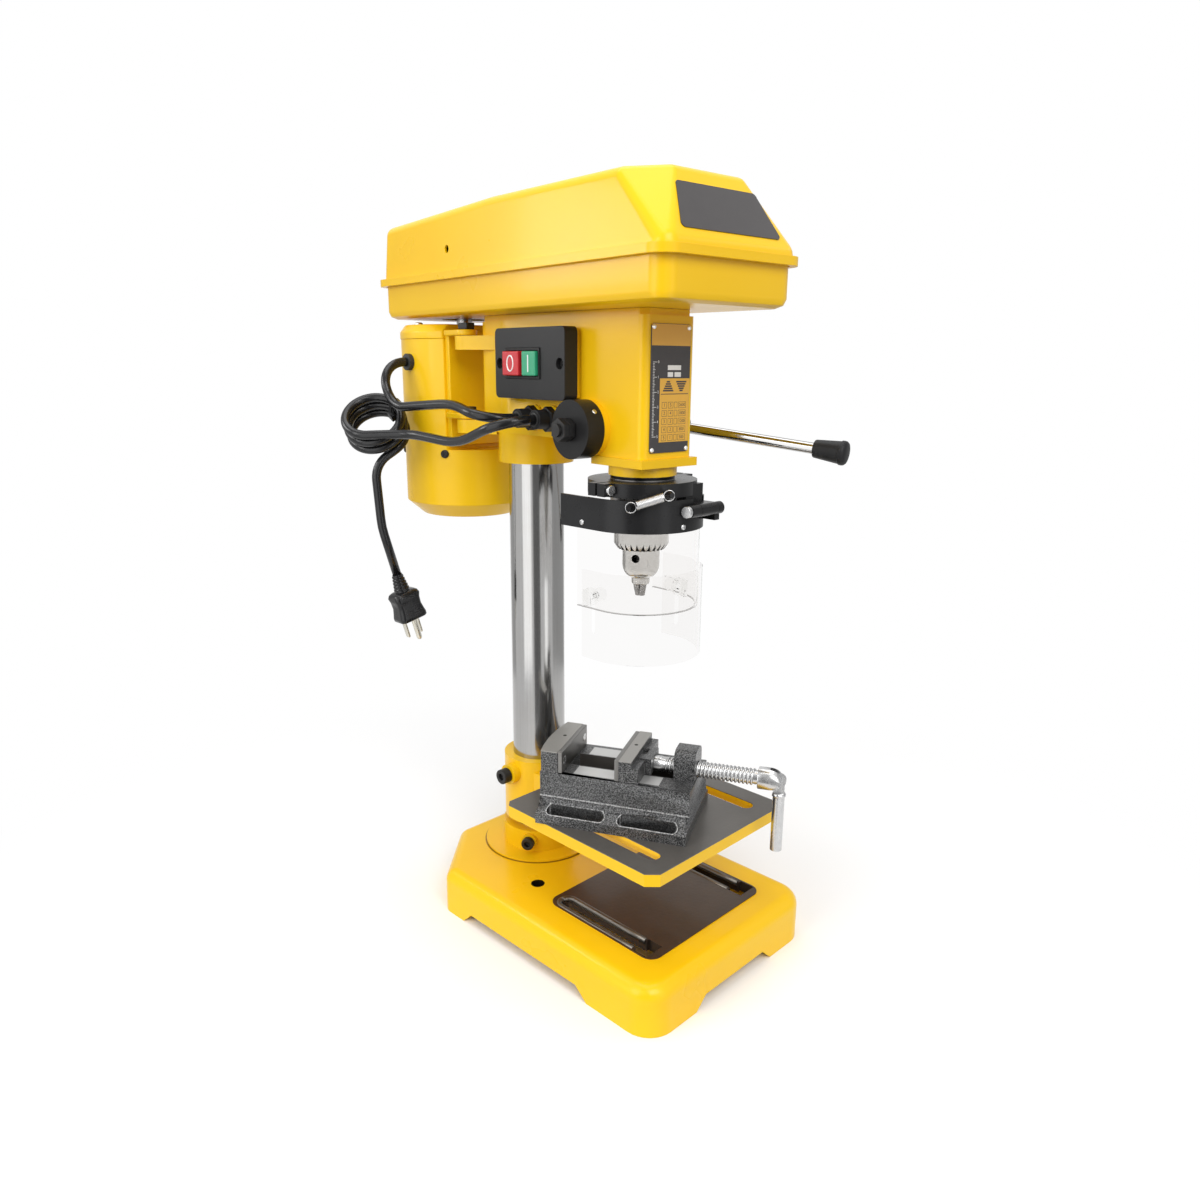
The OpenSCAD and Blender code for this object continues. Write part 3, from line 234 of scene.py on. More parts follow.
def tint(factor, one, two):
    """Mixes two colours by a factor; each is a colour or a socket."""
    one, two = (c if isinstance(c, bpy.types.NodeSocket) else (*c, 1) for c in (one, two))
    return node_of(factor.id_data, "Mix", {0: factor, 6: one, 7: two}, data_type="RGBA").outputs[2]


def noise(place, scale, detail=3, roughness=0.55, stretch=None, distortion=0):
    """A noise factor at a scale per metre; a stretch gives three scales of its own."""
    if stretch:
        place = put(place.id_data, "Mapping", {"Vector": place, "Scale": stretch})
    return put(place.id_data, "TexNoise", {"Vector": place, "Scale": scale, "Detail": detail,
                                           "Roughness": roughness, "Distortion": distortion})


def dressed(shader, color, rough, height, strength, depth=0.0001):
    """Lays a colour, a roughness and the bump of a height field, in metres, on a shader."""
    bump = put(shader.id_data, "Bump", {"Height": height, "Strength": strength, "Distance": depth})
    wired(shader, {"Base Color": color, "Roughness": rough, "Normal": bump})


def clouded(name, low, high, rough, metallic, cloud, grain, strength, depth=0.0001, gloss=0.5):
    """A finish whose colour and gloss drift in clouds, over a fine grain; scales are per metre."""
    made, shader, place = finish_named(name, metallic)
    wired(shader, {"Specular IOR Level": gloss})
    drift = noise(place, cloud, 4, 0.6)
    dressed(shader, tint(drift, low, high), spread(drift, *rough), noise(place, grain), strength, depth)
    return made


sheath_black = clouded("cord_sheath", (0.006, 0.006, 0.007), (0.014, 0.014, 0.015), (0.12, 0.24), 0,
                       70, 900, 0.2, 0.0002, 0.35)
coil_in_way = (coil_point(0.5) - coil_point(-0.5)).normalized()
coil_out_way = (coil_point(coil_turn + 0.5) - coil_point(coil_turn - 0.5)).normalized()
coil_in = coil_point(0) - 8 * coil_in_way
coil_out = coil_point(coil_turn) + 8 * coil_out_way
plug_tilt = spun(-14.3, "Y") @ spun(-3.3, "X")
plug_way = (plug_tilt @ Vector((0, 0, -1))).normalized()
plug_at = Vector((-86, 90, 283))
mains_points = bent([((gland_x - 0.15, mains_y, lead_z), 0), ((-79, mains_y, 421), 23.5),
                     ((-79, -5, 402), 90), (coil_in - 30 * coil_in_way, 40), (coil_in, 0)])
mains_points += [coil_point(7.5 * i) for i in range(139)]
mains_points += bent([(coil_out, 0), (coil_out + 13.5 * coil_out_way, 23), (plug_at - 44 * plug_way, 60),
                      (plug_at, 0)])
mains_points = [head_frame @ p for p in mains_points]
mains_cord = placed("mains_cord", tube(mains_points, cord_radius / 1000, cord_sides))
fitted(mains_cord, "head", sheath_black)
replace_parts(mains_cord, "mains_lead", "mains_coil", "mains_drop")

# Cord tie: a black nylon strap drawn tight round the turns of the coil through its own head, with
# the cut end left standing out.
tie_turn = 225
tie_way = (coil_point(tie_turn + 361) - coil_point(tie_turn + 359)).normalized()
tie_middle = coil_point(tie_turn + 360)
tie_out = tie_way.cross(coil_axis).normalized()
tie_long, tie_round, tie_thick, tie_wide = coil_pitch, cord_radius + 0.15, 1.1, 4.4
tie_mesh = bmesh.new()
tie_rings = []
for end in (1, -1):
    middle = end * tie_long * coil_axis
    for k in range(13):
        a = math.radians(15 * k)
        reach = end * (math.sin(a) * coil_axis + math.cos(a) * tie_out)
        inner, outer = middle + tie_round * reach, middle + (tie_round + tie_thick) * reach
        tie_rings.append([tie_mesh.verts.new(head_frame @ (tie_middle + spot + side * tie_wide / 2 * tie_way))
                          for spot, side in ((inner, -1), (inner, 1), (outer, 1), (outer, -1))])
joined(tie_mesh, tie_rings, closed=True, smooth=False)


def block(mesh, matrix, middle, size):
    """A box in a frame's millimetres, by its middle and its size."""
    spot = matrix @ moved(middle) @ Matrix.Diagonal((*size, 1))
    bmesh.ops.create_cube(mesh, size=1, matrix=spot)


def solid(name, mesh, finish, body, sharp=0):
    """A finished piece from a closed bmesh, with its edges sharp past an angle if one is given."""
    piece = placed(name, mesh, outward=True)
    if sharp:
        piece.data.set_sharp_from_angle(angle=math.radians(sharp))
    return fitted(piece, body, finish)


tie_frame = head_frame @ moved(tie_middle) @ Matrix((tie_way, coil_axis, tie_out)).transposed().to_4x4()
block(tie_mesh, tie_frame, (0, 0, tie_round + 2.6), (6.4, 6, 4.6))
block(tie_mesh, tie_frame @ spun(-24, "X"), (0, 9.5, tie_round + 5.2), (3.8, 15, 1))
nylon_black = clouded("nylon_black", (0.007, 0.007, 0.008), (0.016, 0.016, 0.017), (0.3, 0.45), 0,
                      160, 1400, 0.25)
cord_tie = solid("cord_tie", tie_mesh, nylon_black, "head")

# Plug: three pins in a moulded grip, with finger waists at its sides and a ribbed relief that lets
# the cord bend where it enters.
plug_frame = head_frame @ moved(plug_at) @ plug_tilt


def loft(matrix, sections, sides=32, mesh=None):
    """A mesh through rounded oblongs (z, half x, half y, corner) along a frame's Z axis."""
    mesh, rings = mesh or bmesh.new(), []
    for z, hx, hy, corner in sections:
        rings.append([])
        for k in range(sides):
            a = 2 * math.pi * (k + 0.5) / sides
            c, s = math.cos(a), math.sin(a)
            x = math.copysign(hx - corner, c) + corner * c
            y = math.copysign(hy - corner, s) + corner * s
            rings[-1].append(mesh.verts.new(matrix @ Vector((x, y, z))))
    return joined(mesh, rings)


def streaked(name, low, high, rough, stretch, strength, depth=0.0001):
    """A bright metal whose colour, gloss and grain run in streaks, with three scales per metre."""
    made, shader, place = finish_named(name, 1.0)
    drag = noise(place, 1, 2, 0.5, stretch)
    dressed(shader, tint(drag, low, high), spread(drag, *rough), drag, strength, depth)
    return made


relief = [(0, 4.3, 4.3, 4.29)]
for rib in range(5):
    z, r = -1.2 - 2.9 * rib, 4.5 + 0.45 * rib
    relief += [(z, r - 0.1, r - 0.1, r - 0.11), (z - 0.25, r + 0.55, r + 0.5, r + 0.49),
               (z - 1.5, r + 0.6, r + 0.55, r + 0.5), (z - 1.75, r - 0.2, r - 0.2, r - 0.21)]
grip = [(-15.6, 6.4, 6.2, 6), (-16.2, 9.5, 7.6, 5), (-17.4, 11.4, 9.2, 5), (-20, 12.4, 10, 4.6),
        (-24, 11.4, 9.4, 4.4), (-30, 11.1, 9.2, 4.4), (-35, 12, 9.9, 4.6), (-38.5, 12.9, 10.4, 4.8),
        (-41.2, 12.9, 10.4, 4.8), (-42, 12.2, 9.7, 4.4)]
plug_grip = solid("plug_grip", loft(plug_frame, relief + grip), sheath_black, "head", 50)
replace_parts(plug_grip, "plug")
flat_pin = [(-41.5, 0.8, 3.1, 0.3), (-57.4, 0.8, 3.1, 0.3), (-58.6, 0.7, 2.4, 0.3), (-59, 0.4, 1.8, 0.2)]
round_pin = [(-41.5, 2.4, 2.4, 2.39), (-60, 2.4, 2.4, 2.39), (-61.4, 1.9, 1.9, 1.89), (-62, 0.9, 0.9, 0.89)]
pin_mesh = bmesh.new()
for spot, pin in (((-6.4, 2.65, 0), flat_pin), ((6.4, 2.65, 0), flat_pin), ((0, -5, 0), round_pin)):
    loft(plug_frame @ moved(spot), pin, mesh=pin_mesh)
pin_nickel = streaked("plated_pin", (0.58, 0.55, 0.47), (0.72, 0.69, 0.6), (0.16, 0.36), (1500, 1500, 160),
                      0.15)
plug_pins = solid("plug_pins", pin_mesh, pin_nickel, "head", 40)

# Motor lead: the same cord from the motor's grommet to the other gland of the switch housing,
# slack enough for the motor to swing when the belt is tensioned.
motor_y = 105
motor_points = [head_frame @ p for p in bent(
    [((-60.2, motor_y, 463), 0), ((-87, motor_y, 463), 23), ((-83, 88, 426), 22), ((-75, 8, 432), 90),
     ((-79, motor_lead_y, 422), 23), ((gland_x - 0.15, motor_lead_y, lead_z), 0)])]
motor_cord = placed("motor_cord", tube(motor_points, cord_radius / 1000, cord_sides))
motor_cord.data.materials.append(sheath_black)
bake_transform(motor_cord)
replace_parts(motor_cord, "motor_lead")

# Base: a grey-iron casting with rounded shoulders under glossy yellow enamel. The work pad is
# ground bare, and its two clamping slots have rolled lips and a wider mouth at the front.


def plain(piece, keep=False):
    """A plain mesh of what a piece is after its modifiers."""
    graph = bpy.context.evaluated_depsgraph_get()
    return bpy.data.meshes.new_from_object(piece.evaluated_get(graph), preserve_all_data_layers=keep,
                                           depsgraph=graph)


def settled(piece, shapes=(), keep=False):
    """Puts what a piece's modifiers make in place of its mesh, and clears away the shapes they used."""
    data = plain(piece, keep)
    piece.modifiers.clear()
    piece.data = data
    for shape in shapes:
        bpy.data.objects.remove(shape)


def worked(piece, shapes, operation):
    """Sets shapes to be added to a piece or cut from it."""
    for shape in shapes:
        work = piece.modifiers.new("work", "BOOLEAN")
        work.operation, work.object, work.solver = operation, shape, "EXACT"


def boxes(matrix, blocks):
    """Boxes in a frame's millimetres (middle, size), as shapes to add or cut."""
    shapes = []
    for middle, size in blocks:
        mesh = bmesh.new()
        block(mesh, matrix, middle, size)
        shapes.append(placed("box", mesh))
    return shapes


def skin_of(name, finish, width, segments=2, angle=28, cutters=(), added=(), start=None, rides=True):
    """A copy of a CAD node, or a start shape, added to, cut and with rounded edges, in place of the node."""
    mesh = bmesh.new()
    mesh.from_mesh(start.data if start else frame["nodes"][name].data)
    bmesh.ops.remove_doubles(mesh, verts=mesh.verts, dist=2e-6)
    bmesh.ops.dissolve_limit(mesh, angle_limit=math.radians(0.6), verts=mesh.verts, edges=mesh.edges)
    piece = placed(name + "_skin", mesh)
    worked(piece, added, "UNION")
    worked(piece, cutters, "DIFFERENCE")
    if width:
        edge = piece.modifiers.new("edge", "BEVEL")
        edge.width, edge.segments, edge.limit_method = width / 1000, segments, "ANGLE"
        edge.angle_limit = math.radians(angle)
        edge.miter_outer = "MITER_ARC"
        piece.modifiers.new("flat", "WEIGHTED_NORMAL").keep_sharp = True
    piece.data.polygons.foreach_set("use_smooth", [True] * len(piece.data.polygons))
    settled(piece, [*added, *cutters, *([start] if start else [])], keep=True)
    if not width:
        piece.data.set_sharp_from_angle(angle=math.radians(angle))
    piece.data.materials.clear()
    piece.data.materials.append(finish)
    if rides:
        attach(piece, frame["nodes"][name]["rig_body"])
    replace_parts(piece, name)
    return piece


def math_of(operation, first, *others):
    """Arithmetic between sockets and values, taken in turn where there are several."""
    tree = next(v for v in (first, *others) if isinstance(v, bpy.types.NodeSocket)).id_data
    for other in others or (0.0,):
        first = put(tree, "Math", {0: first, 1: other}, operation=operation)
    return first


all_of, any_of, under, over, minus, unsigned = (partial(math_of, name) for name in (
    "MULTIPLY", "MAXIMUM", "LESS_THAN", "GREATER_THAN", "SUBTRACT", "ABSOLUTE"))


def ramp(value, start, end, kind="LINEAR"):
    """0 at a start and 1 at an end, and level beyond both."""
    return put(value.id_data, "MapRange", {"Value": value, "From Min": start, "From Max": end},
               interpolation_type=kind)


def within(value, low, high, edge=0.0002):
    """1 where a value lies between low and high, with a soft edge."""
    return all_of(ramp(value, low - edge, low + edge, "SMOOTHSTEP"),
                  ramp(value, high + edge, high - edge, "SMOOTHSTEP"))


def parted(place):
    """The three coordinates of a place."""
    return node_of(place.id_data, "SeparateXYZ", {"Vector": place}).outputs


def span(x, y):
    """How long a step is that goes x one way and y across it."""
    step = put(x.id_data, "CombineXYZ", {"X": x, "Y": y})
    return node_of(x.id_data, "VectorMath", {0: step}, operation="LENGTH").outputs[1]


def enamel(name, peel=320, depth=0.0004):
    """Glossy yellow enamel with the soft waviness of its flow; peel is its scale per metre."""
    made, shader, place = finish_named(name)
    wired(shader, {"Specular IOR Level": 0.22, "Coat Weight": 0.12, "Coat Roughness": 0.1})
    cloud = noise(place, 14)
    color, rough = tint(cloud, (0.87, 0.515, 0.004), (0.91, 0.56, 0.006)), spread(cloud, 0.24, 0.34)
    dressed(shader, color, rough, noise(place, peel, 2.5, 0.45), 0.22, depth)
    return made, shader, place, color, rough


def ground_iron(place, turn, low, high):
    """Colour, roughness and lines of iron ground in straight passes that run at a turn in degrees."""
    passes = put(place.id_data, "Mapping", {"Vector": place, "Rotation": (0, 0, math.radians(turn)),
                                            "Scale": (30, 2600, 30)})
    lines = noise(passes, 1, 3, 0.6)
    blotch = noise(place, 45, 4, 0.6)
    rough = math_of("ADD", spread(lines, 0.3, 0.46), spread(blotch, -0.05, 0.06))
    return tint(blotch, low, high), rough, lines


def bared(shader, bare, paint, iron, rough, iron_rough, metal):
    """Lays bare iron over a paint wherever a mask is 1; metal is the share of metal in each."""
    mixed = put(bare.id_data, "Mix", {0: bare, 2: rough, 3: iron_rough})
    wired(shader, {"Base Color": tint(bare, paint, iron), "Metallic": spread(bare, *metal),
                   "Roughness": mixed})


base_paint, shader, place, color, rough = enamel("base_enamel")
x, y, z = parted(place)
across = unsigned(x)
pad = all_of(within(x, -0.0687, 0.0687), within(y, -0.1394, -0.0258),
             within(z, 0.0393, 0.0406))
slot_wall = all_of(within(across, 0.0482, 0.0678, 0.0001), within(y, -0.1326, -0.0325, 0.0001),
                   within(z, 0.029, 0.0398))
iron, iron_rough, _ = ground_iron(place, 90, (0.07, 0.05, 0.037), (0.105, 0.077, 0.058))
column_gap = span(x, minus(y, column_y))
# A darker orange ring painted round the foot of the column flange: painted shade where the flange meets the
# base.
flange_foot_shade = all_of(within(column_gap, 0.0485, 0.0502, 0.0004), within(z, 0.037, 0.0397, 0.0003))
# Near-black paint inside the two bench-bolt holes: painted shade in the holes.
bolt_bore_shade = all_of(under(span(minus(across, 0.056), y), 0.0058), under(z, 0.0392))
color = tint(bolt_bore_shade, tint(flange_foot_shade, color, (0.3, 0.15, 0.003)), (0.012, 0.008, 0.005))
bared(shader, any_of(pad, slot_wall), color, iron, rough, iron_rough, (0, 0.8))
slot_x, lip_round, lip_thick, lip_z, lip_turn_y = 58, 7.2, 2.6, 38.2, -39
slot_mouths = boxes(millimetres, [((side * slot_x, -125.5, 40), (18, 13, 40)) for side in (-1, 1)])
skin_of("base", base_paint, 1.6, 3, cutters=slot_mouths)
lip_iron = clouded("lip_iron", (0.11, 0.1, 0.088), (0.2, 0.185, 0.165), (0.3, 0.5), 1, 90, 900, 0.25, 0.0003)
lip_mesh = bmesh.new()
for side in (-1, 1):
    for wall in (-1, 1):
        lip = [Vector((side * slot_x + wall * lip_round, y, lip_z)) for y in (-117.5, -90, -60, lip_turn_y)]
        lip += [Vector((side * slot_x + wall * lip_round * math.cos(a), lip_turn_y + lip_round * math.sin(a),
                        lip_z)) for a in circle(24)[1:7]]
        tube([p / 1000 for p in lip], lip_thick / 1000, 16, mesh=lip_mesh)
solid("slot_lips", lip_mesh, lip_iron, frame["nodes"]["base"]["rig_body"])

# Base set screw: a blackened socket screw in a boss of the base, turned in against the column so
# that the column cannot turn or lift.
black_oxide = clouded("black_oxide", (0.01, 0.01, 0.011), (0.04, 0.039, 0.037), (0.32, 0.55), 0.6,
                      420, 1300, 0.2)


def round_cutter(place, radius, depth, sides=48):
    """A bore about the middle of a frame, along its Z axis, as a cutter."""
    mesh = bmesh.new()
    bmesh.ops.create_cone(mesh, cap_ends=True, segments=sides, radius1=radius, radius2=radius, depth=depth,
                          matrix=place)
    return placed("bore", mesh)


def socket_cutter(spot, way, across):
    """A six-sided key socket, as a cutter: its mouth's middle, the way out of it, and its size in mm."""
    turn = Vector(way).to_track_quat("Z", "Y").to_matrix().to_4x4()
    return round_cutter(moved(spot) @ turn, across / 1732, 0.007, 6)


screw_turn = math.radians(212)
screw_way = Vector((math.cos(screw_turn), math.sin(screw_turn), 0))
skin_of("base_set_screw", black_oxide, 0.6, cutters=[
    socket_cutter(Vector((0, column_y, 0.051)) + 0.0405 * screw_way, screw_way, 5)])

# Column: a 46 mm steel tube with a thin wall, ground bright along its length and pressed into the
# socket of the base.
column_steel, shader, place = finish_named("column_steel", 1.0)
draw = noise(place, 1, 3, 0.6, (1400, 1400, 10))
ring = noise(place, 1, 2, 0.5, (20, 20, 1500))
stain = noise(place, 30, 5, 0.65)
steel = tint(draw, (0.34, 0.338, 0.334), (0.46, 0.458, 0.452))
dressed(shader, tint(spread(stain, -0.3, 0.5), steel, (0.36, 0.34, 0.32)), spread(ring, 0.1, 0.2),
        ring, 0.1, 0.00005)
skin_of("column", column_steel, 0.8)

# Table: a ribbed grey-iron casting on its own collar; its upper face is ground, and the rest is
# under the same yellow enamel.
table_paint, shader, place, color, rough = enamel("table_enamel")
x, y, z = parted(place)
iron, iron_rough, _ = ground_iron(place, 0, (0.115, 0.107, 0.097), (0.165, 0.154, 0.14))
bared(shader, all_of(over(z, 0.1164), under(y, 0.0118)), color, iron, rough, iron_rough, (0, 0.5))
slot_backs = boxes(millimetres, [((side * 57, -74, 100), (21, 124, 27)) for side in (-1, 1)])
skin_of("table", table_paint, 1.4, 3, cutters=slot_backs)

# Table clamp screw: a blackened socket screw through the boss of the split collar, which draws the
# collar tight on the column.
skin_of("table_clamp_screw", black_oxide, 0.6, cutters=[
    socket_cutter((-0.045, column_y, 0.112), (-1, 0, 0), 6)])

# Vise: grey iron under dark hammertone enamel, with the ways and the tops of the jaws ground. The
# moving jaw slides on the ways, and the body stands loose on the table.
vise_spot, vise_turn, screw_z, jaw_top = (-0.020, -0.064, 0.117), 63, 44, 56
vise_frame = moved(vise_spot) @ spun(-vise_turn, "Z") @ millimetres
hammer, shader, place = finish_named("hammertone")
swirl = noise(place, 1250, 3, 0.6, None, 0.6)
x, y, z = parted(put(place.id_data, "VectorRotate", {
    "Vector": place, "Center": vise_spot, "Angle": math.radians(vise_turn)}, rotation_type="Z_AXIS"))
along = math_of("ADD", x, 0.020)
aside = unsigned(math_of("ADD", y, 0.064))
above = minus(z, 0.117)
top = all_of(over(above, 0.0553), under(along, 0.04))
way = all_of(within(along, -0.0335, 0.0345, 0.0003), within(above, 0.038, 0.0387, 0.0001),
             within(aside, 0.012, 0.027, 0.0003))
slot_off = unsigned(minus(unsigned(along), 0.0285))
slot_gap = span(any_of(minus(slot_off, 0.0195), 0.0), minus(aside, 0.0372))
rim = all_of(within(slot_gap, 0.00375, 0.0043, 0.0001), within(above, 0.0075, 0.014, 0.0005))
# Near-black paint inside the slots of the vise body: painted shade in the slots.
slot_shade = all_of(under(slot_gap, 0.00355), under(above, 0.014), 0.6)
trough = all_of(under(aside, 0.0113), within(along, -0.041, 0.0412),
                within(above, 0.0165, 0.0384))
crease = all_of(within(above, 0.0183, 0.0193), within(aside, 0.03, 0.032))
# Pale grey streaks along the crease and round the slot rims: a painted highlight on those edges.
edge_highlight = all_of(any_of(crease, rim), ramp(swirl, 0.35, 0.65))
paint = tint(ramp(swirl, 0.46, 0.6), (0.008, 0.0085, 0.009), (0.2, 0.2, 0.2))
paint = tint(slot_shade, tint(edge_highlight, paint, (0.7, 0.7, 0.69)), (0.006, 0.006, 0.006))
bare = any_of(top, way, trough)
iron, iron_rough, iron_lines = ground_iron(place, vise_turn, (0.27, 0.26, 0.24), (0.34, 0.33, 0.31))
iron = tint(trough, tint(under(above, 0.045), iron, (0.56, 0.56, 0.55)), (0.12, 0.11, 0.1))
relief_height = all_of(tint(bare, swirl, iron_lines), spread(bare, 1.0, 0.3))
dressed(shader, paint, iron_rough, relief_height, 0.5, 0.0004)
bared(shader, bare, paint, iron, 0.28, iron_rough, (0.25, 0.6))


def vise_shapes(*blocks):
    """Boxes in the vise's millimetres, by their lowest and highest corners, as shapes to add or cut."""
    return boxes(vise_frame, [([(a + b) / 2 for a, b in zip(low, high)], [b - a for a, b in zip(low, high)])
                              for low, high in blocks])


def drawn_out(place, outline, low, high, name="prism"):
    """A prism: an outline in a frame's X and Y, drawn out along its Z axis from low to high."""
    mesh = bmesh.new()
    rings = [[mesh.verts.new(place @ Vector((x, y, z))) for x, y in outline] for z in (low, high)]
    return placed(name, joined(mesh, rings, smooth=False), outward=True)


def mirrored(half):
    """An outline from its half on the side of +X."""
    return half + [(-x, y) for x, y in reversed(half)]


def vise_bore(radius, x0, x1):
    """A round bore on the axis of the vise's screw, as a cutter."""
    return round_cutter(vise_frame @ moved(((x0 + x1) / 2, 0, screw_z)) @ spun(90, "Y"), radius, x1 - x0)


lengthways = vise_frame @ Matrix(((0, 0, 1, 0), (1, 0, 0, 0), (0, 1, 0, 0), (0, 0, 0, 1)))
crossways = vise_frame @ Matrix(((1, 0, 0, 0), (0, 0, 1, 0), (0, 1, 0, 0), (0, 0, 0, 1)))
half_foot = [(42, 0), (42, 7.5), (34.4, 12), (31, 19), (31, 38.5)]
half_boss = [(12.5, 30), (12.5, 54.5), (11.4, 57.6), (9.2, 59.8), (6, 61)]
vise_foot = drawn_out(lengthways, mirrored(half_foot), -59.5, 59.5)
nut_boss = drawn_out(lengthways, mirrored(half_boss), 42.3, 58.8)
fixed_jaw = drawn_out(vise_frame, [(-45, -31), (-45, 31), (-58.6, 31), (-60.4, 21), (-61.4, 10), (-61.7, 0),
                                   (-61.4, -10), (-60.4, -21), (-58.6, -31)], 2, jaw_top)
vise_cuts = vise_shapes(((-41.5, -11, 8), (41.5, 11, 40)), ((-41.5, -15, 8), (41.5, 15, 16)))
vise_cuts.append(vise_bore(6.7, 41, 60))
for side in (-1, 1):
    for end in (-28.5, 28.5):
        slot = loft(vise_frame @ moved((end, 37.2 * side, 0)), [(-1, 23, 3.5, 3.49), (25, 23, 3.5, 3.49)])
        vise_cuts.append(placed("vise_slot", slot, outward=True))
skin_of("vise_body", hammer, 0.8, 3, 24, vise_cuts, [fixed_jaw, nut_boss], vise_foot)
jaw_bar = drawn_out(crossways, [(4, 38.8), (19.5, 38.8), (19.5, 51), (14, 51), (14, jaw_top), (4, jaw_top)],
                    -31, 31)
jaw_blocks = vise_shapes(((10, -12, 39.3), (24.5, 12, 52)), ((4.8, -10.7, 11), (19.6, 10.7, 42)),
                         ((4.2, -14.5, 9), (20.5, 14.5, 15.5)))
jaw_cuts = vise_shapes(((14.6, -3, 49), (18.6, 8, 60))) + [vise_bore(5.2, 12.5, 26)]
skin_of("vise_moving_jaw", hammer, 0.9, 3, 28, jaw_cuts, jaw_blocks, jaw_bar)

# Jaw plates: hardened steel, ground, each held by two countersunk cross-head screws; a small punch
# mark is struck in the top of each jaw, drawn as a near-black disc of painted shade.
jaw_steel, shader, place = finish_named("jaw_steel", 1.0)
color, rough, lines = ground_iron(place, vise_turn, (0.17, 0.165, 0.157), (0.25, 0.243, 0.233))
dressed(shader, color, rough, lines, 0.2)
for name, x in (("vise_fixed_plate", -45), ("vise_moving_plate", 0.5)):
    skin_of(name, jaw_steel, 0.4, start=vise_shapes(((x, -30.5, 38.8), (x + 3.5, 30.5, jaw_top)))[0])


def turned(matrix, profile, sides, mesh=None):
    """A mesh turned through (radius, height) points about a frame's Z axis."""
    mesh = mesh or bmesh.new()
    return joined(mesh, [[mesh.verts.new(matrix @ Vector((r * math.cos(a), r * math.sin(a), z)))
                          for a in circle(sides)] for r, z in profile])


def cross_head(radius, rise):
    """A pattern of one screw head, in mm about the origin: a dome with a driven cross recess."""
    dome = [(radius * 0.96, -0.6), (radius, 0), (radius, rise * 0.4), (radius * 0.9, rise * 0.72),
            (radius * 0.62, rise * 0.94), (radius * 0.3, rise)]
    head = placed("head_pattern", turned(Matrix.Identity(4), dome, 20), outward=True)
    recess = boxes(Matrix.Identity(4), [((0, 0, rise), (radius * 1.2, radius * 0.26, rise)),
                                        ((0, 0, rise), (radius * 0.26, radius * 1.2, rise))])
    worked(head, recess, "DIFFERENCE")
    settled(head, recess)
    head.data.set_sharp_from_angle(angle=math.radians(40))
    return head


def grown(name, tree, values, start=None):
    """The plain mesh that a geometry tree grows, with its inputs set by their identifiers."""
    piece = shown(name, start or bpy.data.meshes.new(name))
    work = piece.modifiers.new("work", "NODES")
    work.node_group = tree
    for item in tree.interface.items_tree:
        if item.in_out == "INPUT" and item.name in values:
            work[item.identifier] = values[item.name]
    settled(piece)
    return piece


def tree_named(name, sockets):
    """A geometry tree with its two ends and its named inputs."""
    tree = bpy.data.node_groups.new(name, "GeometryNodeTree")
    tree.interface.new_socket("Geometry", in_out="OUTPUT", socket_type="NodeSocketGeometry")
    for label, kind in (("Geometry", "Geometry"), *sockets, ("Finish", "Material")):
        tree.interface.new_socket(label, in_out="INPUT", socket_type="NodeSocket" + kind)
    return tree, tree.nodes.new("NodeGroupInput").outputs, tree.nodes.new("NodeGroupOutput")


def closed_off(tree, given, end, geometry):
    """Realizes a tree's instances and gives the result its material."""
    real = put(tree, "GeometryNodeRealizeInstances", {"Geometry": geometry})
    done = put(tree, "GeometryNodeSetMaterial", {"Geometry": real, "Material": given["Finish"]})
    wired(end, {0: done})


stud_tree, given, end = tree_named("studs", (("Pattern", "Object"), ("Size", "Float")))
facing = put(stud_tree, "GeometryNodeInputNamedAttribute", {"Name": "facing"}, data_type="FLOAT_VECTOR")
aim = put(stud_tree, "FunctionNodeAlignRotationToVector", {"Vector": facing}, axis="Z")
pattern = node_of(stud_tree, "GeometryNodeObjectInfo", {"Object": given["Pattern"]}).outputs["Geometry"]
studs = put(stud_tree, "GeometryNodeInstanceOnPoints", {
    "Points": given["Geometry"], "Instance": pattern, "Rotation": aim, "Scale": given["Size"]})
closed_off(stud_tree, given, end, studs)


def studded(name, pattern, places, finish, body):
    """Fasteners of one pattern set at places (point in metres, way out), on one body."""
    start = bpy.data.meshes.new(name)
    start.from_pydata([tuple(p) for p, way in places], [], [])
    ways = start.attributes.new("facing", "FLOAT_VECTOR", "POINT")
    for i, (p, way) in enumerate(places):
        ways.data[i].vector = Vector(way).normalized()
    piece = grown(name, stud_tree, {"Pattern": pattern, "Size": 0.001, "Finish": finish}, start)
    bpy.data.objects.remove(pattern)
    fitted(piece, body)


zinc = clouded("bright_zinc", (0.5, 0.5, 0.505), (0.68, 0.68, 0.675), (0.16, 0.34), 1, 260, 900, 0.1, 0.0002)
vise_out = (vise_frame.to_3x3() @ Vector((1, 0, 0))).normalized()
for name, body, x, way in (("fixed_plate_screws", "table", -41.5, vise_out),
                           ("moving_plate_screws", "vise_jaw", 0.5, -vise_out)):
    studded(name, cross_head(3.4, 0.35), [(vise_frame @ Vector((x, y, 47.5)), way) for y in (-24, 24)],
            zinc, body)
# Near-black discs on the jaw tops: painted shade of the punched dents.
punch_shade = clouded("punch_shade_disc", (0.012, 0.011, 0.01), (0.03, 0.028, 0.026), (0.5, 0.7), 0.5,
                     900, 2000, 0.2)
punch = [(1.5, -0.3), (1.5, 0.04), (1.2, 0.05), (0.4, 0.02)]
for name, body, x in (("fixed_jaw_mark", "table", -51), ("moving_jaw_mark", "vise_jaw", 8.5)):
    solid(name, turned(vise_frame @ moved((x, 3, jaw_top)), punch, 14), punch_shade, body)

# Vise screw: a turned and zinc-plated screw of 3 mm pitch that runs in the body's nut, with an eye
# for the handle at its outer end; its neck turns in the back of the moving jaw.


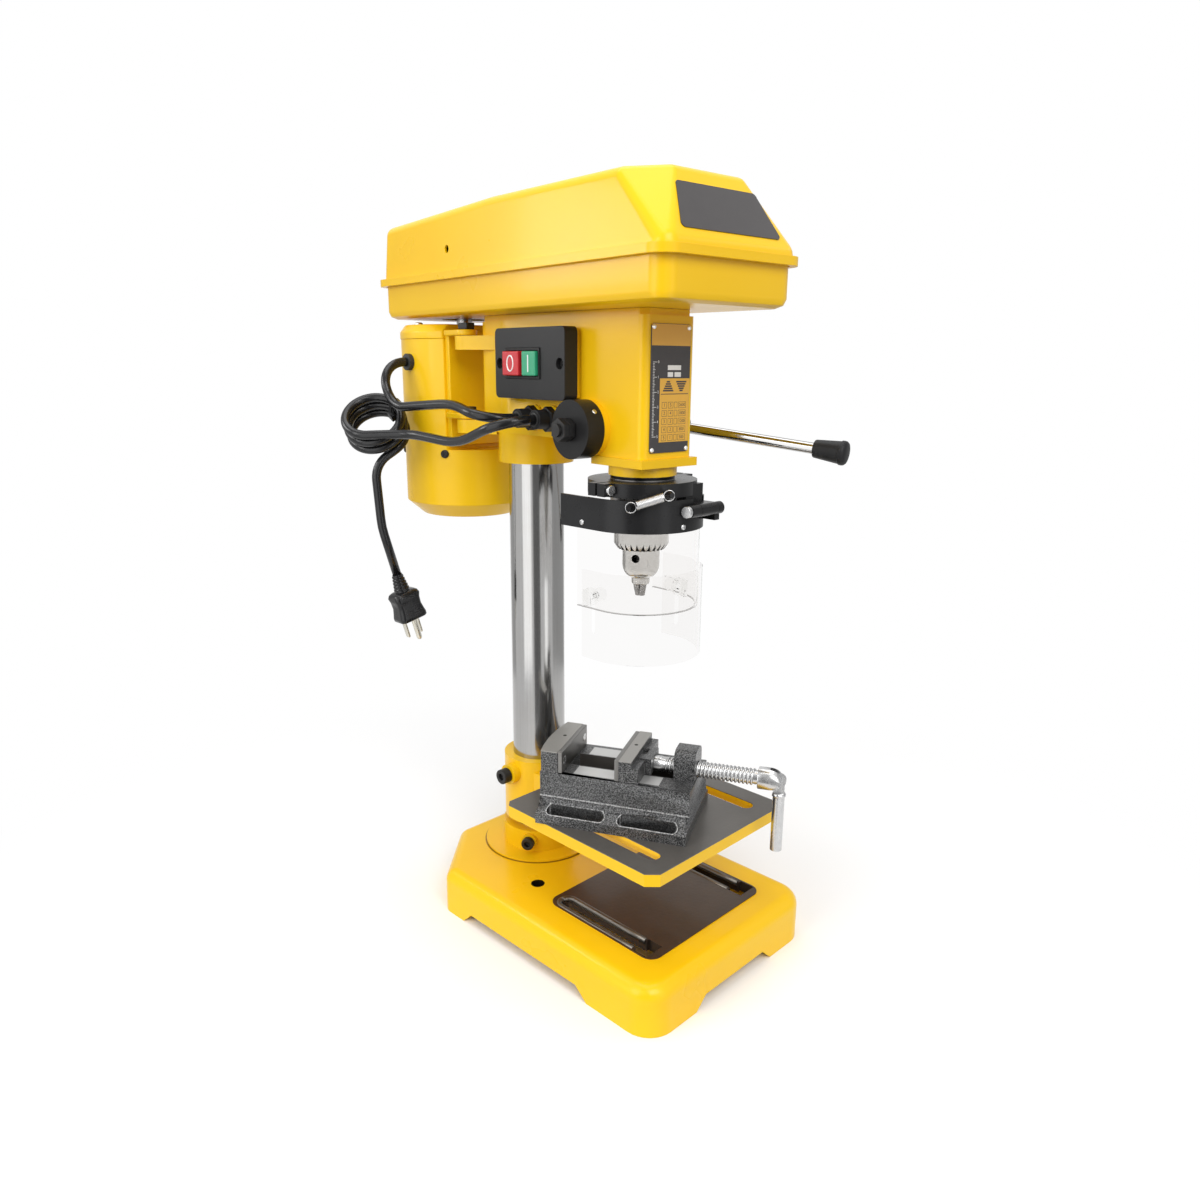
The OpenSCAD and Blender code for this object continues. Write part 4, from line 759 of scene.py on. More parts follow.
def helix_tree(name, steps, sides, upright):
    """A geometry tree for a round wire wound along Z; an upright one keeps its profile level."""
    tree, given, end = tree_named(name, [(label, "Float") for label in ("Length", "Turns", "Radius", "Wire")])
    helix = put(tree, "GeometryNodeCurveSpiral", {
        "Resolution": steps, "Rotations": given["Turns"], "Start Radius": given["Radius"],
        "End Radius": given["Radius"], "Height": given["Length"]})
    if upright:
        helix = put(tree, "GeometryNodeSetCurveNormal", {"Curve": helix}, mode="Z_UP")
    wire = put(tree, "GeometryNodeCurvePrimitiveCircle", {"Resolution": sides, "Radius": given["Wire"]})
    wire = put(tree, "GeometryNodeCurveToMesh", {"Curve": helix, "Profile Curve": wire, "Fill Caps": True})
    wire = put(tree, "GeometryNodeSetShadeSmooth", {"Geometry": wire, "Shade Smooth": True})
    closed_off(tree, given, end, wire)
    return tree


screw_frame = vise_frame @ moved((0, 0, screw_z)) @ spun(90, "Y")
screw_pitch, screw_turns = 3.0, 23.0
vise_thread = grown("vise_thread", helix_tree("thread", 28, 6, True), {
    "Length": screw_pitch * screw_turns, "Turns": screw_turns, "Radius": 5.35, "Wire": 1.12, "Finish": zinc})
vise_thread.data.transform(screw_frame @ moved((0, 0, 34)))
fitted(vise_thread, "vise_screw")
core = [(4.4, 13), (4.9, 13.6), (4.9, 24.9), (6.3, 24.9), (6.3, 30), (5.3, 32), (5.3, 105.2), (8.3, 105.2),
        (8.5, 105.7), (8.5, 113.9)]
vise_core = solid("vise_screw_core", turned(screw_frame, core, 40), zinc, "vise_screw", 35)
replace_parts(vise_core, "vise_screw")
eye_mesh = bmesh.new()
cheek_turns = [math.radians(15 * k - 90) for k in range(13)]
cheek = ([(113.6, -8.5)] + [(113.8 + 8.2 * math.cos(a) + 0.9, 8.5 * math.sin(a)) for a in cheek_turns]
         + [(113.6, 8.5)])
for side in (-1, 1):
    rings = []
    for y in (2.5, 5.2, 7.1, 8.2):
        shrink = math.sqrt(max(0.05, 1 - (y / 8.7) ** 2))
        rings.append([eye_mesh.verts.new(vise_frame @ Vector((x, side * y, screw_z + z * shrink)))
                      for x, z in cheek])
    joined(eye_mesh, rings)
solid("vise_screw_eye", eye_mesh, zinc, "vise_screw", 35)

# Vise handle: a chromed bar with a flat tongue and a turned collar, riveted in the eye of the screw
# so that it can fold.
skin_of("vise_handle", zinc, 1.2, 3)
collar = [(3.9, -9.6), (4.7, -10), (5.2, -11), (5.2, -12.4), (4.7, -13), (4.4, -13.2)]
solid("vise_handle_collar", turned(vise_frame @ moved((121, 0, screw_z)), collar, 32), zinc,
      "vise_handle")

# Head: the grey-iron head casting under yellow enamel, with a thin cast seat for the belt housing;
# the neck for the guard's clamp is turned bare.
head_paint, shader, place, color, rough = enamel("head_enamel")
x, y, z = parted(place)
neck = all_of(under(z, 0.3846), under(y, -0.02))
# A near-black band painted round the top of the bare neck, just under the nose: painted shade where the neck
# meets the nose.
neck_groove_shade = all_of(neck, within(z, 0.3825, 0.3846))
neck_rough = spread(noise(place, 1, 2, 0.5, (20, 20, 1800)), 0.2, 0.4)
steel = tint(neck_groove_shade, (0.3, 0.29, 0.28), (0.012, 0.012, 0.012))
bared(shader, neck, color, steel, rough, neck_rough, (0, 1))
spindle_y = -130
flange_trims = boxes(head_frame, [
    ((-32.2, spindle_y, 395), (10, 80, 7.4)), ((32.2, spindle_y, 395), (10, 80, 7.4)),
    ((0, -163.2, 395), (80, 10, 7.4)), ((0, -99.5, 393.7), (80, 9, 4.6))])
skin_of("head_casting", head_paint, 2.0, 3, cutters=flange_trims)
half_seat = [(19, -154.6), (23.8, -150), (28.5, -20), (28.5, 30)]
head_seat = drawn_out(head_frame, mirrored(half_seat), 495.05, 499.3, "head_seat")
seat_bore = [round_cutter(head_frame @ moved((0, spindle_y, 497)), 15, 12)]
worked(head_seat, seat_bore, "DIFFERENCE")
settled(head_seat, seat_bore)
fitted(head_seat, "head", head_paint)

# Head lock screws: two blackened socket screws in the back of the head, which hold it on the
# column.
lock_way = head_frame.to_3x3() @ Vector((0, 1, 0))
lock_low, lock_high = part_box("head_lock_screws")
skin_of("head_lock_screws", black_oxide, 0.6, cutters=[
    socket_cutter(head_frame @ Vector((0, 42, 1000 * z)), lock_way, 6)
    for z in (lock_low[2] + 0.006, lock_high[2] - 0.006)])

# Front plate: a printed sheet on the front of the head with a depth ruler, a drawing of the two
# step pulleys and a table of speeds, held by four rivets.
plate_dark, plate_gold, plate_white = (
    clouded(name, low, high, rough, 0, cloud, 1500, 0.12) for name, low, high, rough, cloud in (
        ("plate_ink", (0.034, 0.03, 0.031), (0.05, 0.045, 0.045), (0.32, 0.45), 120),
        ("plate_gold", (0.7, 0.37, 0.035), (0.76, 0.42, 0.05), (0.3, 0.42), 120),
        ("plate_white", (0.72, 0.71, 0.69), (0.82, 0.81, 0.79), (0.3, 0.45), 160)))
skin_of("nameplate", plate_dark, 0.15)
plate_y, ruler_top = -156.8, 464.1


def print_block(mesh, x0, x1, z0, z1, layer):
    """One printed field on the front plate, a hair thick; each layer lies over the one before."""
    middle = ((x0 + x1) / 2, plate_y - 0.03 * layer, (z0 + z1) / 2)
    block(mesh, head_frame, middle, (x1 - x0, 0.05, z1 - z0))


def figures(mesh, words, x, z, height):
    """Plain figures printed on the front plate, centred at a place."""
    curve = bpy.data.curves.new("figures", "FONT")
    curve.body, curve.size, curve.align_x, curve.align_y = words, height, "CENTER", "CENTER"
    curve.extrude = 0.02
    written = shown("figures", curve)
    data = plain(written)
    data.transform(head_frame @ moved((x, -156.87, z)) @ spun(90, "X"))
    mesh.from_mesh(data)
    bpy.data.objects.remove(written)


gold_mesh, dark_mesh, white_mesh = bmesh.new(), bmesh.new(), bmesh.new()
print_block(gold_mesh, -18.5, 18.5, 475, 489.2, 1)
print_block(gold_mesh, -10.2, 18.5, 409.8, 453.2, 1)
for x0, x1, z0, z1 in ((-3, 9.8, 458.8, 462), (-3, 2.2, 454.2, 457.4), (3.6, 9.8, 454.2, 457.4)):
    print_block(white_mesh, x0, x1, z0, z1, 1)
for step in range(5):
    half = 5 - 0.85 * step
    z = 444.4 + 1.5 * step
    print_block(dark_mesh, -2.2 - half, -2.2 + half, z, z + 1.1, 2)
    print_block(dark_mesh, 10.4 - 1.6 - 0.85 * step, 10.4 + 1.6 + 0.85 * step, z, z + 1.1, 2)
print_block(dark_mesh, -9.2, 17.4, 442.4, 442.9, 2)
row_heights = [435.1 - 5.58 * row for row in range(5)]
for z in row_heights:
    for x0, x1 in ((-7.9, -3.2), (-1.9, 3), (4, 7), (8, 15.4)):
        for sides in ((x0, x1, z + 1.9, z + 2.15), (x0, x1, z - 2.15, z - 1.9),
                      (x0, x0 + 0.25, z - 2, z + 2), (x1 - 0.25, x1, z - 2, z + 2)):
            print_block(dark_mesh, *sides, 2)
for row, (z, speed) in enumerate(zip(row_heights, (2600, 1800, 1200, 800, 500))):
    figures(dark_mesh, str(row + 1), -5.5, z, 3.4)
    figures(dark_mesh, str(5 - row), 0.6, z, 3.4)
    figures(dark_mesh, str(speed), 11.7, z, 3.1)
for number in range(6):
    figures(white_mesh, str(number), -11.9, ruler_top - 10.06 * number, 2.6)
for name, mesh, finish in (("gold", gold_mesh, plate_gold), ("dark", dark_mesh, plate_dark),
                           ("white", white_mesh, plate_white)):
    printed = placed("plate_%s_print" % name, mesh)
    printed.data.materials.clear()
    fitted(printed, "head", finish)
tick_tree, given, end = tree_named("ruler", (("Count", "Int"), ("Pitch", "Float"), ("Short", "Float"),
                                             ("Line", "Float")))
drop = put(tick_tree, "CombineXYZ", {"Z": given["Pitch"]})
rule = put(tick_tree, "GeometryNodeMeshLine", {"Count": given["Count"], "Offset": drop}, mode="OFFSET")
size = put(tick_tree, "CombineXYZ", {"X": given["Short"], "Y": 0.05, "Z": given["Line"]})
bar = put(tick_tree, "GeometryNodeMeshCube", {"Size": size})
shift = put(tick_tree, "CombineXYZ", {"X": math_of("MULTIPLY", given["Short"], 0.5)})
bar = put(tick_tree, "GeometryNodeTransform", {"Geometry": bar, "Translation": shift})
index = put(tick_tree, "GeometryNodeInputIndex")
full, half = (under(math_of("MODULO", index, every), 0.5) for every in (10.0, 5.0))
reach = math_of("ADD", full, math_of("MULTIPLY", half, 0.5), 1.0)
stretch = put(tick_tree, "CombineXYZ", {"X": reach, "Y": 1.0, "Z": 1.0})
ticks = put(tick_tree, "GeometryNodeInstanceOnPoints", {"Points": rule, "Instance": bar, "Scale": stretch})
closed_off(tick_tree, given, end, ticks)
ruler_ticks = grown("ruler_ticks", tick_tree, {"Count": 51, "Pitch": -1.006, "Short": 1.5, "Line": 0.32,
                                               "Finish": plate_white})
ruler_ticks.data.transform(head_frame @ moved((-17.0, -156.83, ruler_top)))
fitted(ruler_ticks, "head")
rivet = turned(Matrix.Identity(4), [(1.75, -0.4), (1.75, 0.15), (1.55, 0.6), (1.1, 0.95), (0.4, 1.1)], 18)
rivet_bright = clouded("rivet_bright", (0.78, 0.78, 0.77), (0.88, 0.88, 0.87), (0.25, 0.4), 0.8,
                       500, 1500, 0.1)
head_ahead = head_frame.to_3x3() @ Vector((0, -1, 0))
studded("plate_rivets", placed("rivet_pattern", rivet),
        [(head_frame @ Vector((x, plate_y, z)), head_ahead) for x in (-16.7, 16.7) for z in (404.7, 487.2)],
        rivet_bright, "head")

# Switch: a black moulded housing screwed to the left side of the head, with a snap-in module that
# holds the two push buttons.
switch_z = 462.5
switch_black, shader, place = finish_named("switch_black")
wired(shader, {"Specular IOR Level": 0.2})
cloud = noise(place, 60)
dressed(shader, tint(cloud, (0.015, 0.015, 0.0155), (0.024, 0.0235, 0.024)), spread(cloud, 0.34, 0.46),
        noise(place, 1700, 2), 0.2)
skin_of("switch_box", switch_black, 1.2, 3)
moulded = clouded("black_moulding", (0.009, 0.009, 0.0095), (0.019, 0.019, 0.02), (0.34, 0.5), 0,
                  80, 1500, 0.25, 0.0001, 0.18)
skin_of("switch_module", moulded, 0.4)
left_out = head_frame.to_3x3() @ Vector((-1, 0, 0))
studded("switch_screws", cross_head(3.1, 1.4),
        [(head_frame @ Vector((-39.4, y, switch_z)), left_out) for y in (-12.5, -87.5)],
        black_oxide, "head")

# Push buttons: red with a ring to stop and green with a bar to start, in glossy moulded plastic with
# the marks inlaid in white.
mark_white = clouded("mark_white", (0.8, 0.79, 0.78), (0.88, 0.87, 0.86), (0.3, 0.42), 0,
                     200, 1500, 0.1)
for name, low, high in (("stop_button", (0.5, 0.012, 0.02), (0.6, 0.02, 0.03)),
                        ("start_button", (0.015, 0.3, 0.14), (0.03, 0.37, 0.19))):
    skin_of(name, clouded(name + "_plastic", low, high, (0.26, 0.4), 0, 300, 1600, 0.15), 1.0, 3)
ring_points = [head_frame @ Vector((-48.45, -33.4 - 3.9 * math.cos(a), switch_z + 5.6 * math.sin(a)))
               for a in circle(40)]
fitted(placed("stop_mark", tube(ring_points, 0.00062, 8, ring=True)), "stop", mark_white)
bar = loft(head_frame @ moved((-46.95, -54, switch_z)) @ spun(90, "Y"),
           [(-0.15, 6.2, 0.62, 0.5), (0.02, 6.2, 0.62, 0.5), (0.05, 6.1, 0.5, 0.45)], 16)
solid("start_mark", bar, mark_white, "start")

# Return spring: a flat steel spiral in a black pressed cap on the left end of the feed shaft, which
# two jam nuts hold against the head; a stop screw stands in its rim.
feed_y, feed_z = -103, 417
cap_black = clouded("cap_black", (0.011, 0.011, 0.0115), (0.02, 0.0195, 0.0195), (0.26, 0.4), 0,
                    60, 1100, 0.12, 0.0001, 0.15)
spring_steel = clouded("spring_steel", (0.16, 0.15, 0.14), (0.3, 0.29, 0.28), (0.25, 0.42), 1,
                       200, 900, 0.15, 0.0002)
skin_of("spring_cap", cap_black, 0.9, 3)
skin_of("return_spring", spring_steel, 0)
skin_of("feed_nuts", black_oxide, 0.7)
rim_turn, rim_radius = math.radians(38), 20.9
rim_way = head_frame.to_3x3() @ Vector((0, -math.cos(rim_turn), math.sin(rim_turn)))
rim_spot = Vector((-37.5, feed_y - rim_radius * math.cos(rim_turn), feed_z + rim_radius * math.sin(rim_turn)))
studded("cap_rim_screw", cross_head(1.9, 0.9), [(head_frame @ rim_spot, rim_way)],
        zinc, "head")

# Cord glands: black moulded nuts and sleeves where the leads enter the head, each with a thin
# washer, and a rubber grommet in the motor's side.
for name in ("motor_lead_gland", "mains_gland"):
    skin_of(name, moulded, 0.6)
rubber = clouded("grommet_rubber", (0.011, 0.011, 0.011), (0.022, 0.021, 0.021), (0.45, 0.62), 0,
                 120, 1200, 0.25)
skin_of("motor_grommet", rubber, 1.2, 3)
washer = turned(Matrix.Identity(4), [(4.1, 0), (5.1, 0), (5.3, 0.3), (5.1, 0.6), (4.1, 0.6)], 28)
gland_points = frame["nodes"]["mains_gland"].data.vertices
gland_end = min((head_frame.inverted() @ Vector(v.co)).x for v in gland_points)
studded("gland_washers", placed("washer_pattern", washer),
        [(head_frame @ Vector((gland_end - 0.05, y, lead_z)), left_out) for y in (motor_lead_y, mains_y)],
        black_oxide, "head")

# Quill and spindle: a ground steel sleeve with a rack cut in its back, the spindle that turns in its
# two ball bearings, and the upper sleeve and bearings that carry the pulley.
spindle_steel = clouded("spindle_steel", (0.4, 0.4, 0.4), (0.56, 0.56, 0.555), (0.16, 0.32), 1,
                        160, 1000, 0.1)
for name, width in (("quill", 0.5), ("quill_bearings", 0.4), ("spindle", 0.4), ("sleeve_bearings", 0.4),
                    ("pulley_sleeve", 0.4)):
    skin_of(name, spindle_steel, width)

# Chuck: a keyed three-jaw chuck in polished steel, its sleeve cut with bevel teeth; the jaws are
# hardened and darker, and all of it turns with the spindle.
chuck_frame = head_frame @ moved((0, spindle_y, 0))
teeth, crisp = 28, 26
chuck_steel, shader, place = finish_named("chuck_steel", 1.0)
turning = noise(place, 1, 2, 0.5, (40, 40, 2200))
cloud = noise(place, 70)
tree = place.id_data
centred = put(tree, "VectorMath", {0: place, 1: tuple(chuck_frame.translation)}, operation="SUBTRACT")
x, y, z = parted(put(tree, "VectorRotate", {"Vector": centred, "Angle": math.radians(head_turn)},
                     rotation_type="Z_AXIS"))
out = span(x, y)
steps = math_of("MULTIPLY", math_of("ARCTAN2", y, x), teeth / (2 * math.pi))
off = unsigned(minus(steps, math_of("ROUND", steps)))
off = math_of("MULTIPLY", off, out, 2 * math.pi / teeth)
gap_half = math_of("MULTIPLY", minus(0.336, z), 0.25)
# Near-black paint in the gaps between the sleeve's teeth and inside the key holes: painted shade in those
# recesses.
tooth_gap_shade = all_of(under(off, gap_half), within(z, 0.3297, 0.336, 0.0001), over(out, 0.0153))
key_hole_shade = all_of(under(out, 0.0132), within(z, 0.3202, 0.3285, 0.0001))
steel = tint(cloud, (0.5, 0.485, 0.46), (0.64, 0.625, 0.6))
dressed(shader, tint(any_of(tooth_gap_shade, key_hole_shade), steel, (0.02, 0.019, 0.018)), spread(turning, 0.14, 0.3),
        turning, 0.12, 0.00006)


def chuck_round(profile, sides=48, place=Matrix.Identity(4)):
    """A turned shape in a frame of the chuck, as a blank or a cutter."""
    return placed("chuck_round", turned(chuck_frame @ place, profile, sides), outward=True)


body_blank = chuck_round([
    (6.2, 303), (6.7, 303.5), (6.8, 304.2), (6.8, 307.4), (7.6, 308), (9.4, 308.9), (11.2, 310.4),
    (12.6, 312.5), (13.5, 315), (13.9, 317.5), (13.9, 329.7), (14.9, 330), (14.9, 352.3), (18.4, 352.3),
    (18.4, 360), (16.4, 362)], 72)
body_cuts = [chuck_round([(4.2, 302), (4.2, 333)]), chuck_round([(7.02, 342), (7.02, 363)])]
for k in range(3):
    jaw_way = spun(120 * k + 30, "Z") @ moved((1, 0, 294)) @ spun(12, "Y")
    key_way = spun(120 * k + 90, "Z") @ moved((0, 0, 324.2)) @ spun(90, "Y")
    body_cuts += [chuck_round([(2.78, -1), (2.78, 55)], place=jaw_way),
                  chuck_round([(3.1, 8), (3.1, 20)], place=key_way)]
skin_of("chuck_body", chuck_steel, 0, 2, crisp, body_cuts, start=body_blank)
sleeve_blank = chuck_round([(16.4, 330.2), (17.4, 330.2), (20.1, 333.8), (20.4, 334.6), (20.4, 351),
                            (19.4, 352)], 112)
teeth_mesh = bmesh.new()
for a in circle(teeth):
    around = chuck_frame @ Matrix.Rotation(a, 4, "Z")
    wedge = [[teeth_mesh.verts.new(around @ Vector((r, y, z)))
              for y, z in ((-1.45, 329.6), (1.45, 329.6), (0, 335.4))] for r in (15.8, 22)]
    joined(teeth_mesh, wedge, smooth=False)
sleeve_cuts = [chuck_round([(15, 329), (15, 353)]), placed("tooth_gaps", teeth_mesh, outward=True)]
skin_of("chuck_sleeve", chuck_steel, 0, 2, crisp, sleeve_cuts, start=sleeve_blank)
jaw_dark = clouded("chuck_jaw_steel", (0.22, 0.21, 0.2), (0.36, 0.35, 0.34), (0.2, 0.36), 1,
                   240, 1200, 0.12)
for k in (1, 2, 3):
    skin_of("chuck_jaw_%d" % k, jaw_dark, 0.15)

# Feed: a blackened shaft with the pinion cut in its middle, a black hub pinned on its right end, and
# three chromed rods screwed into the hub, each with a short black moulded knob.
chrome = clouded("rod_chrome", (0.4, 0.395, 0.39), (0.48, 0.475, 0.47), (0.05, 0.14), 1,
                 40, 800, 0.05)
skin_of("feed_shaft", black_oxide, 0.2)
skin_of("feed_hub", cap_black, 0.8)
skin_of("feed_rods", chrome, 0.5)
knob = [(4.1, 119.8), (5.7, 119.8), (6.3, 120.1), (6.5, 120.8), (8.1, 138.6), (8.2, 139), (8.65, 139.4),
        (8.7, 141), (8.5, 142.2), (7.6, 143.3), (5, 144.1), (1, 144.4)]
knob_mesh = bmesh.new()
for k in range(3):
    rod_frame = (head_frame @ moved((51.5, feed_y, feed_z)) @ spun(186 + 120 * k, "X")
                 @ spun(-17, "Z") @ spun(-90, "X"))
    turned(rod_frame, knob, 48, knob_mesh)
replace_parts(solid("rod_knobs", knob_mesh, moulded, "feed", 40), "feed_knobs")

# Belt housing: a pressed steel tray bolted on the head and a hinged pressed lid, in smooth enamel; a
# bare plate is stuck on the sloping front of the lid.
sheet_paint = enamel("housing_enamel", 150, 0.0002)[0]
skin_of("belt_tray", sheet_paint, 0.8)
skin_of("belt_lid", sheet_paint, 1.0, 3)
lean_y, lean_z, lean_off, corner_x, corner_z = 0.869, 0.494, 449.9, 3, 2.6
lid_plate_mesh = bmesh.new()
lid_plate_rings = [[], []]
for x, z, side, level, first in ((-45.5, 542, -1, -1, 180), (45.5, 542, 1, -1, 270), (37, 571, 1, 1, 0),
                                 (-37, 571, -1, 1, 90)):
    for k in range(7):
        a = math.radians(first + 15 * k)
        corner = Vector((x - side * corner_x + corner_x * math.cos(a), 0,
                         z - level * corner_z + corner_z * math.sin(a)))
        corner.y = (lean_z * corner.z - lean_off) / lean_y
        for ring, lift in zip(lid_plate_rings, (-0.1, 0.5)):
            ring.append(lid_plate_mesh.verts.new(head_frame @ (corner + lift * Vector((0, -lean_y, lean_z)))))
solid("lid_plate", joined(lid_plate_mesh, lid_plate_rings, smooth=False), plate_dark, "lid")
studded("tray_screws", cross_head(4.2, 2.2),
        [(head_frame @ Vector((s * 20, y, 501.9)), (0, 0, 1)) for s in (-1, 1) for y in (-82, 20)],
        zinc, "head")

# Belt drive: two cast alloy step pulleys, one on the spindle's sleeve and one on the motor shaft,
# joined by a black V-belt.
alloy = streaked("pulley_alloy", (0.48, 0.48, 0.49), (0.63, 0.63, 0.64), (0.26, 0.44), (30, 30, 1800),
                 0.15)
for name in ("spindle_pulley", "motor_pulley"):
    skin_of(name, alloy, 0.4)
belt_rubber = clouded("belt_rubber", (0.014, 0.014, 0.014), (0.03, 0.029, 0.028), (0.6, 0.8), 0,
                      150, 2200, 0.4, 0.0002)
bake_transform(skin_of("v_belt", belt_rubber, 0.4, rides=False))
skin_of("motor_shaft", spindle_steel, 0.4)

# Motor: a drawn steel shell and a pressed end cap in smooth enamel, bolted by its flat to a plate that
# swings on two pivot bolts in the head's lugs.
for name, width in (("motor_housing", 1.6), ("motor_end_cap", 1.0)):
    skin_of(name, sheet_paint, width, 3)
skin_of("motor_bracket", enamel("bracket_enamel")[0], 0.9)
skin_of("motor_pivot_bolts", black_oxide, 0.7)
shell_radius, cap_circle = 56, 46


def round_motor(turn, radius, z):
    """A place in metres at an angle and a radius about the motor's axis."""
    a = math.radians(turn)
    return head_frame @ Vector((radius * math.cos(a), motor_y + radius * math.sin(a), z))


shell_screws = []
for turn in (37, 143, 217, 323):
    out = Vector((math.cos(math.radians(turn)), math.sin(math.radians(turn)), 0))
    shell_screws.append((round_motor(turn, shell_radius, 386.5), head_frame.to_3x3() @ out))
studded("shell_screws", cross_head(3.6, 2.2), shell_screws, black_oxide, "motor")
cap_screws = [(round_motor(turn, cap_circle, 494), (0, 0, 1)) for turn in (0, 60, 120, 180)]
studded("end_cap_screws", cross_head(3.4, 2.0), cap_screws, zinc, "motor")

# Chuck guard: a black split clamp on the neck and a hinged black band that carries the shields, with
# a bright hinge bolt and clamp screws.
guard_black = clouded("guard_black", (0.009, 0.009, 0.0095), (0.016, 0.016, 0.017), (0.22, 0.34), 0,
                      50, 900, 0.15, 0.0001, 0.22)
skin_of("guard_clamp", guard_black, 0.6)
skin_of("guard_band", guard_black, 0.5)
skin_of("guard_hinge_bolt", zinc, 0.4)
spindle_at, band_radius = head_frame @ Vector((0, spindle_y, 0)), 0.0453
band_turn = math.radians(262)
band_way = Vector((math.cos(band_turn), math.sin(band_turn), 0))
band_screws = [(spindle_at + Vector((-band_radius, 0.0165, 0.3525)), (-1, 0, 0)),
               (spindle_at + band_radius * band_way + Vector((0, 0, 0.352)), band_way)]
studded("band_screws", cross_head(2.1, 1.3), band_screws, zinc, "guard")

# Guard spring: a close-wound tension spring with a full ring at each end, hooked over the pins of the
# clamp and the band; it holds the guard shut.
pin_radius, spring_hook = 0.0508, 0.0054
pin_low, pin_high = (spindle_at + Vector((pin_radius * math.cos(a), pin_radius * math.sin(a), z))
                     for a, z in ((math.radians(212), 0.367), (math.radians(245), 0.376)))
spring_way = (pin_high - pin_low).normalized()
spring_out = ((pin_low + pin_high) / 2 - spindle_at)
spring_out.z = 0
spring_out = (spring_out - spring_out.dot(spring_way) * spring_way).normalized()
spring_side = spring_out.cross(spring_way)
spring_coil = grown("guard_spring_coil", helix_tree("close_coil", 18, 8, False), {
    "Length": (pin_high - pin_low).length - 2 * spring_hook, "Turns": 19.0, "Radius": 0.0028, "Wire": 0.0006,
    "Finish": zinc})
spring_axes = Matrix((spring_out, spring_side, spring_way)).transposed().to_4x4()
spring_coil.data.transform(moved(pin_low + spring_hook * spring_way) @ spring_axes)
spring_coil.data.flip_normals()
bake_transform(spring_coil)
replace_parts(spring_coil, "guard_spring")
for name, pin, side, body in (("guard_spring_ring_low", pin_low, 1, "guard"),
                              ("guard_spring_ring_high", pin_high, -1, "head")):
    middle = pin + side * 0.0014 * spring_way
    loop = [middle + 0.0036 * (math.cos(a) * spring_way + math.sin(a) * spring_side) for a in circle(28)]
    fitted(placed(name, tube(loop, 0.0004, 8, ring=True)), body, zinc)

# Shields: two bent sheets of clear plastic, the lower one sliding on the upper, with two clear
# moulded thumbscrews. A dark band tinted into the upper sheet along its hem is painted shade where the
# sheet's edge shows.
for name, label, width, bending, scale, rough, low, high in (
        ("upper_shield", "clear_shield", 0, 1.035, 40, (0.0, 0.03), (0.975, 0.97, 0.966), (0.4, 0.39, 0.38)),
        ("lower_shield", "clear_lower_shield", 0, 1.035, 40, (0.0, 0.03), (0.955, 0.95, 0.945),
         (0.968, 0.964, 0.96)),
        ("shield_thumbscrews", "clear_thumbscrew", 0.3, 1.06, 300, (0.02, 0.1), (0.94, 0.94, 0.935),
         (0.98, 0.98, 0.975))):
    clear, shader, place = finish_named(label)
    haze = noise(place, scale)
    # On the upper shield the tint mask is a thin band at the hem, which is painted shade of the sheet's edge;
    # on the others it is random haze.
    shade = within(parted(place)[2], 0.2886, 0.2896) if name == "upper_shield" else haze
    wired(shader, {"Transmission Weight": 1.0, "IOR": bending, "Roughness": spread(haze, *rough),
                   "Base Color": tint(shade, low, high)})
    skin_of(name, clear, width)

# Studio: a pale floor that fades into a white surround, large soft lamps, and cards and strips round the
# part that only the bright metal mirrors.


def seen(tree):
    """1 for the rays that show the surround itself: straight, mirrored or through the clear parts."""
    ray = node_of(tree, "LightPath").outputs
    return any_of(ray["Is Camera Ray"], ray["Is Glossy Ray"], ray["Is Transmission Ray"])


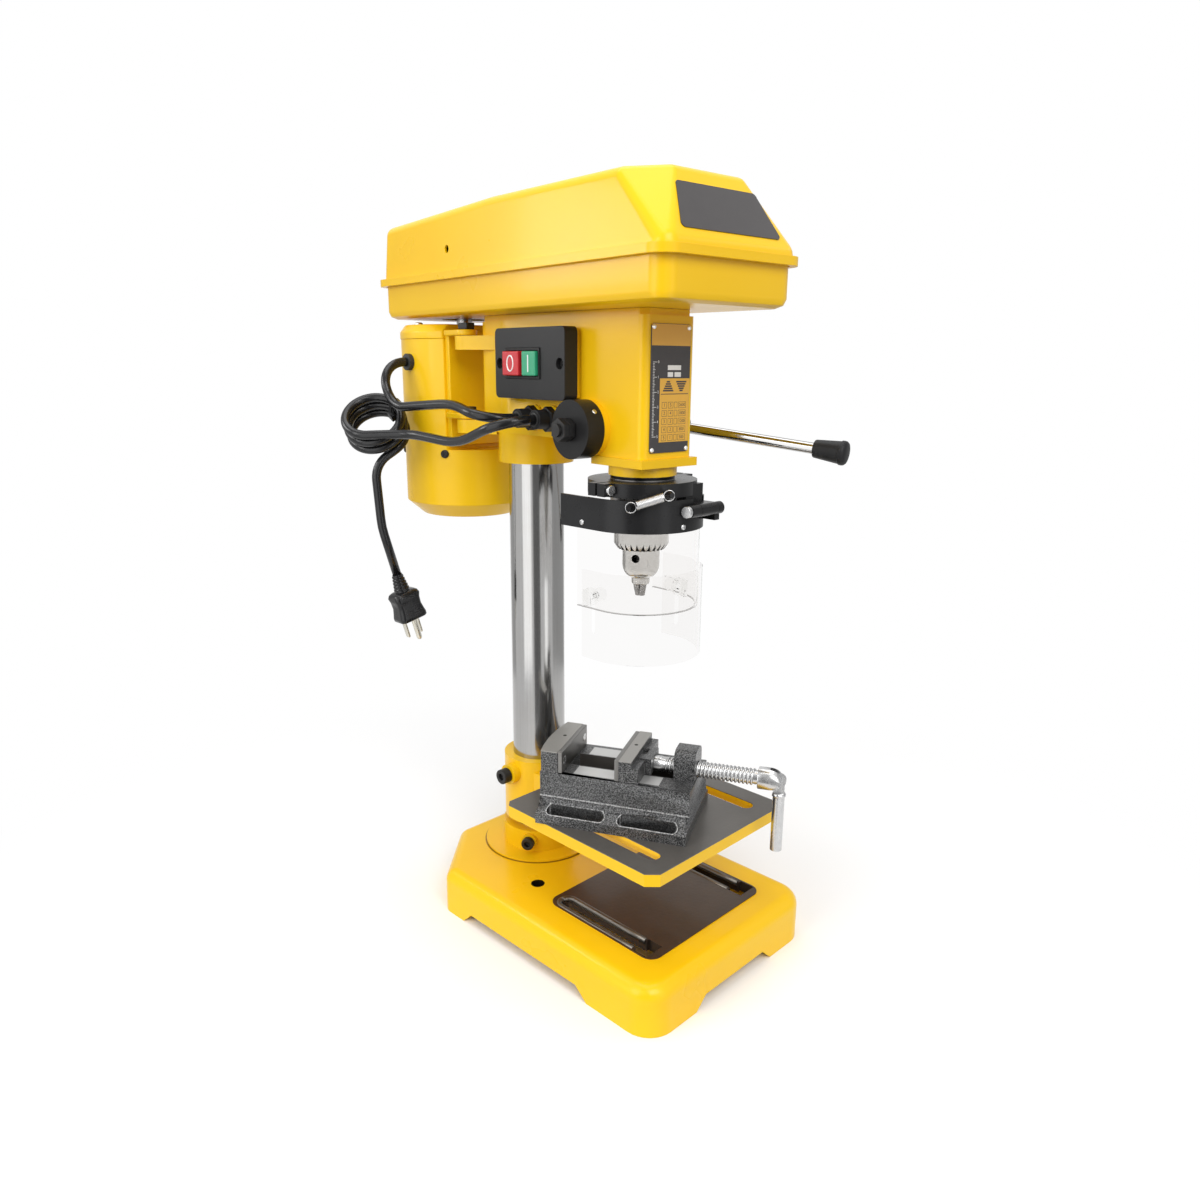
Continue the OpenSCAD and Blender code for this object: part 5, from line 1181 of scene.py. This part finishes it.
white = (1, 1, 1, 1)
floor_mesh = bmesh.new()
bmesh.ops.create_circle(floor_mesh, cap_ends=True, segments=96, radius=7)
floor = placed("floor", floor_mesh)
floor.location = (0, 0, -0.0002)
floor_white, shader, place = finish_named("floor_white")
wired(shader, {"Base Color": (0.93, 0.93, 0.93, 1), "Roughness": 0.9})
tree = floor_white.node_tree
fade = ramp(node_of(tree, "VectorMath", {0: place}, operation="LENGTH").outputs[1], 0.16, 0.6, "SMOOTHSTEP")
glow = put(tree, "Emission", {"Color": white, "Strength": spread(seen(tree), 0.4, 1.0)})
blend = put(tree, "MixShader", {0: fade, 1: shader.outputs[0], 2: glow})
wired(tree.nodes["Material Output"], {"Surface": blend})
floor.data.materials.append(floor_white)
for name, start, end, reach, strength, low_edge, high_edge in (
        ("dark_card", -62, -33, 0.36, 0.22, 0.001, 0.75), ("left_strip", -106, -69, 0.62, 2.1, 0.001, 0.75),
        ("right_strip", -13, 1, 0.62, 2.0, 0.001, 0.75), ("right_card", 25, 110, 0.62, 0.55, 0.001, 0.75),
        ("back_card", -190, -155, 0.62, 0.6, 0.001, 0.75), ("lid_card", -146, -124, 0.62, 6.5, 0.52, 0.75)):
    card_mesh = bmesh.new()
    edges = []
    for k in range(13):
        a = math.radians(start + (end - start) * k / 12)
        spot = Vector((reach * math.sin(a), 0.03 - reach * math.cos(a), 0))
        edges.append([card_mesh.verts.new(spot + Vector((0, 0, z))) for z in (low_edge, high_edge)])
    for low, high in zip(edges, edges[1:]):
        card_mesh.faces.new((low[0], low[1], high[1], high[0]))
    card = placed(name, card_mesh)
    card_light = finish_named(name + "_light")[0]
    glow = put(card_light.node_tree, "Emission", {"Color": white, "Strength": strength})
    wired(card_light.node_tree.nodes["Material Output"], {"Surface": glow})
    card.data.materials.append(card_light)
    card.visible_camera = card.visible_diffuse = card.visible_shadow = card.visible_transmission = False
world = bpy.data.worlds.new("studio")
bpy.context.scene.world = world
world.use_nodes = True
tree = world.node_tree
wired(tree.nodes["Background"], {"Color": white, "Strength": spread(seen(tree), 0.45, 1.0)})
for name, spot, aim, size, power in (("key", (-0.7, -1.3, 1.5), (0, 0, 0.3), 1.1, 20),
                                     ("side", (-1.6, 0.1, 0.9), (0, 0, 0.35), 1.0, 13.5),
                                     ("fill", (1.4, -0.9, 0.8), (0, 0, 0.3), 1.2, 4.5),
                                     ("top", (0, 0.2, 1.9), (0, 0, 0.3), 1.3, 12)):
    lamp_data = bpy.data.lights.new(name, "AREA")
    lamp_data.size, lamp_data.energy = size, power
    lamp = shown(name, lamp_data)
    lamp.matrix_world = (moved(spot)
                         @ (Vector(aim) - Vector(spot)).to_track_quat("-Z", "Y").to_matrix().to_4x4())
bpy.context.scene.view_settings.view_transform = "Standard"
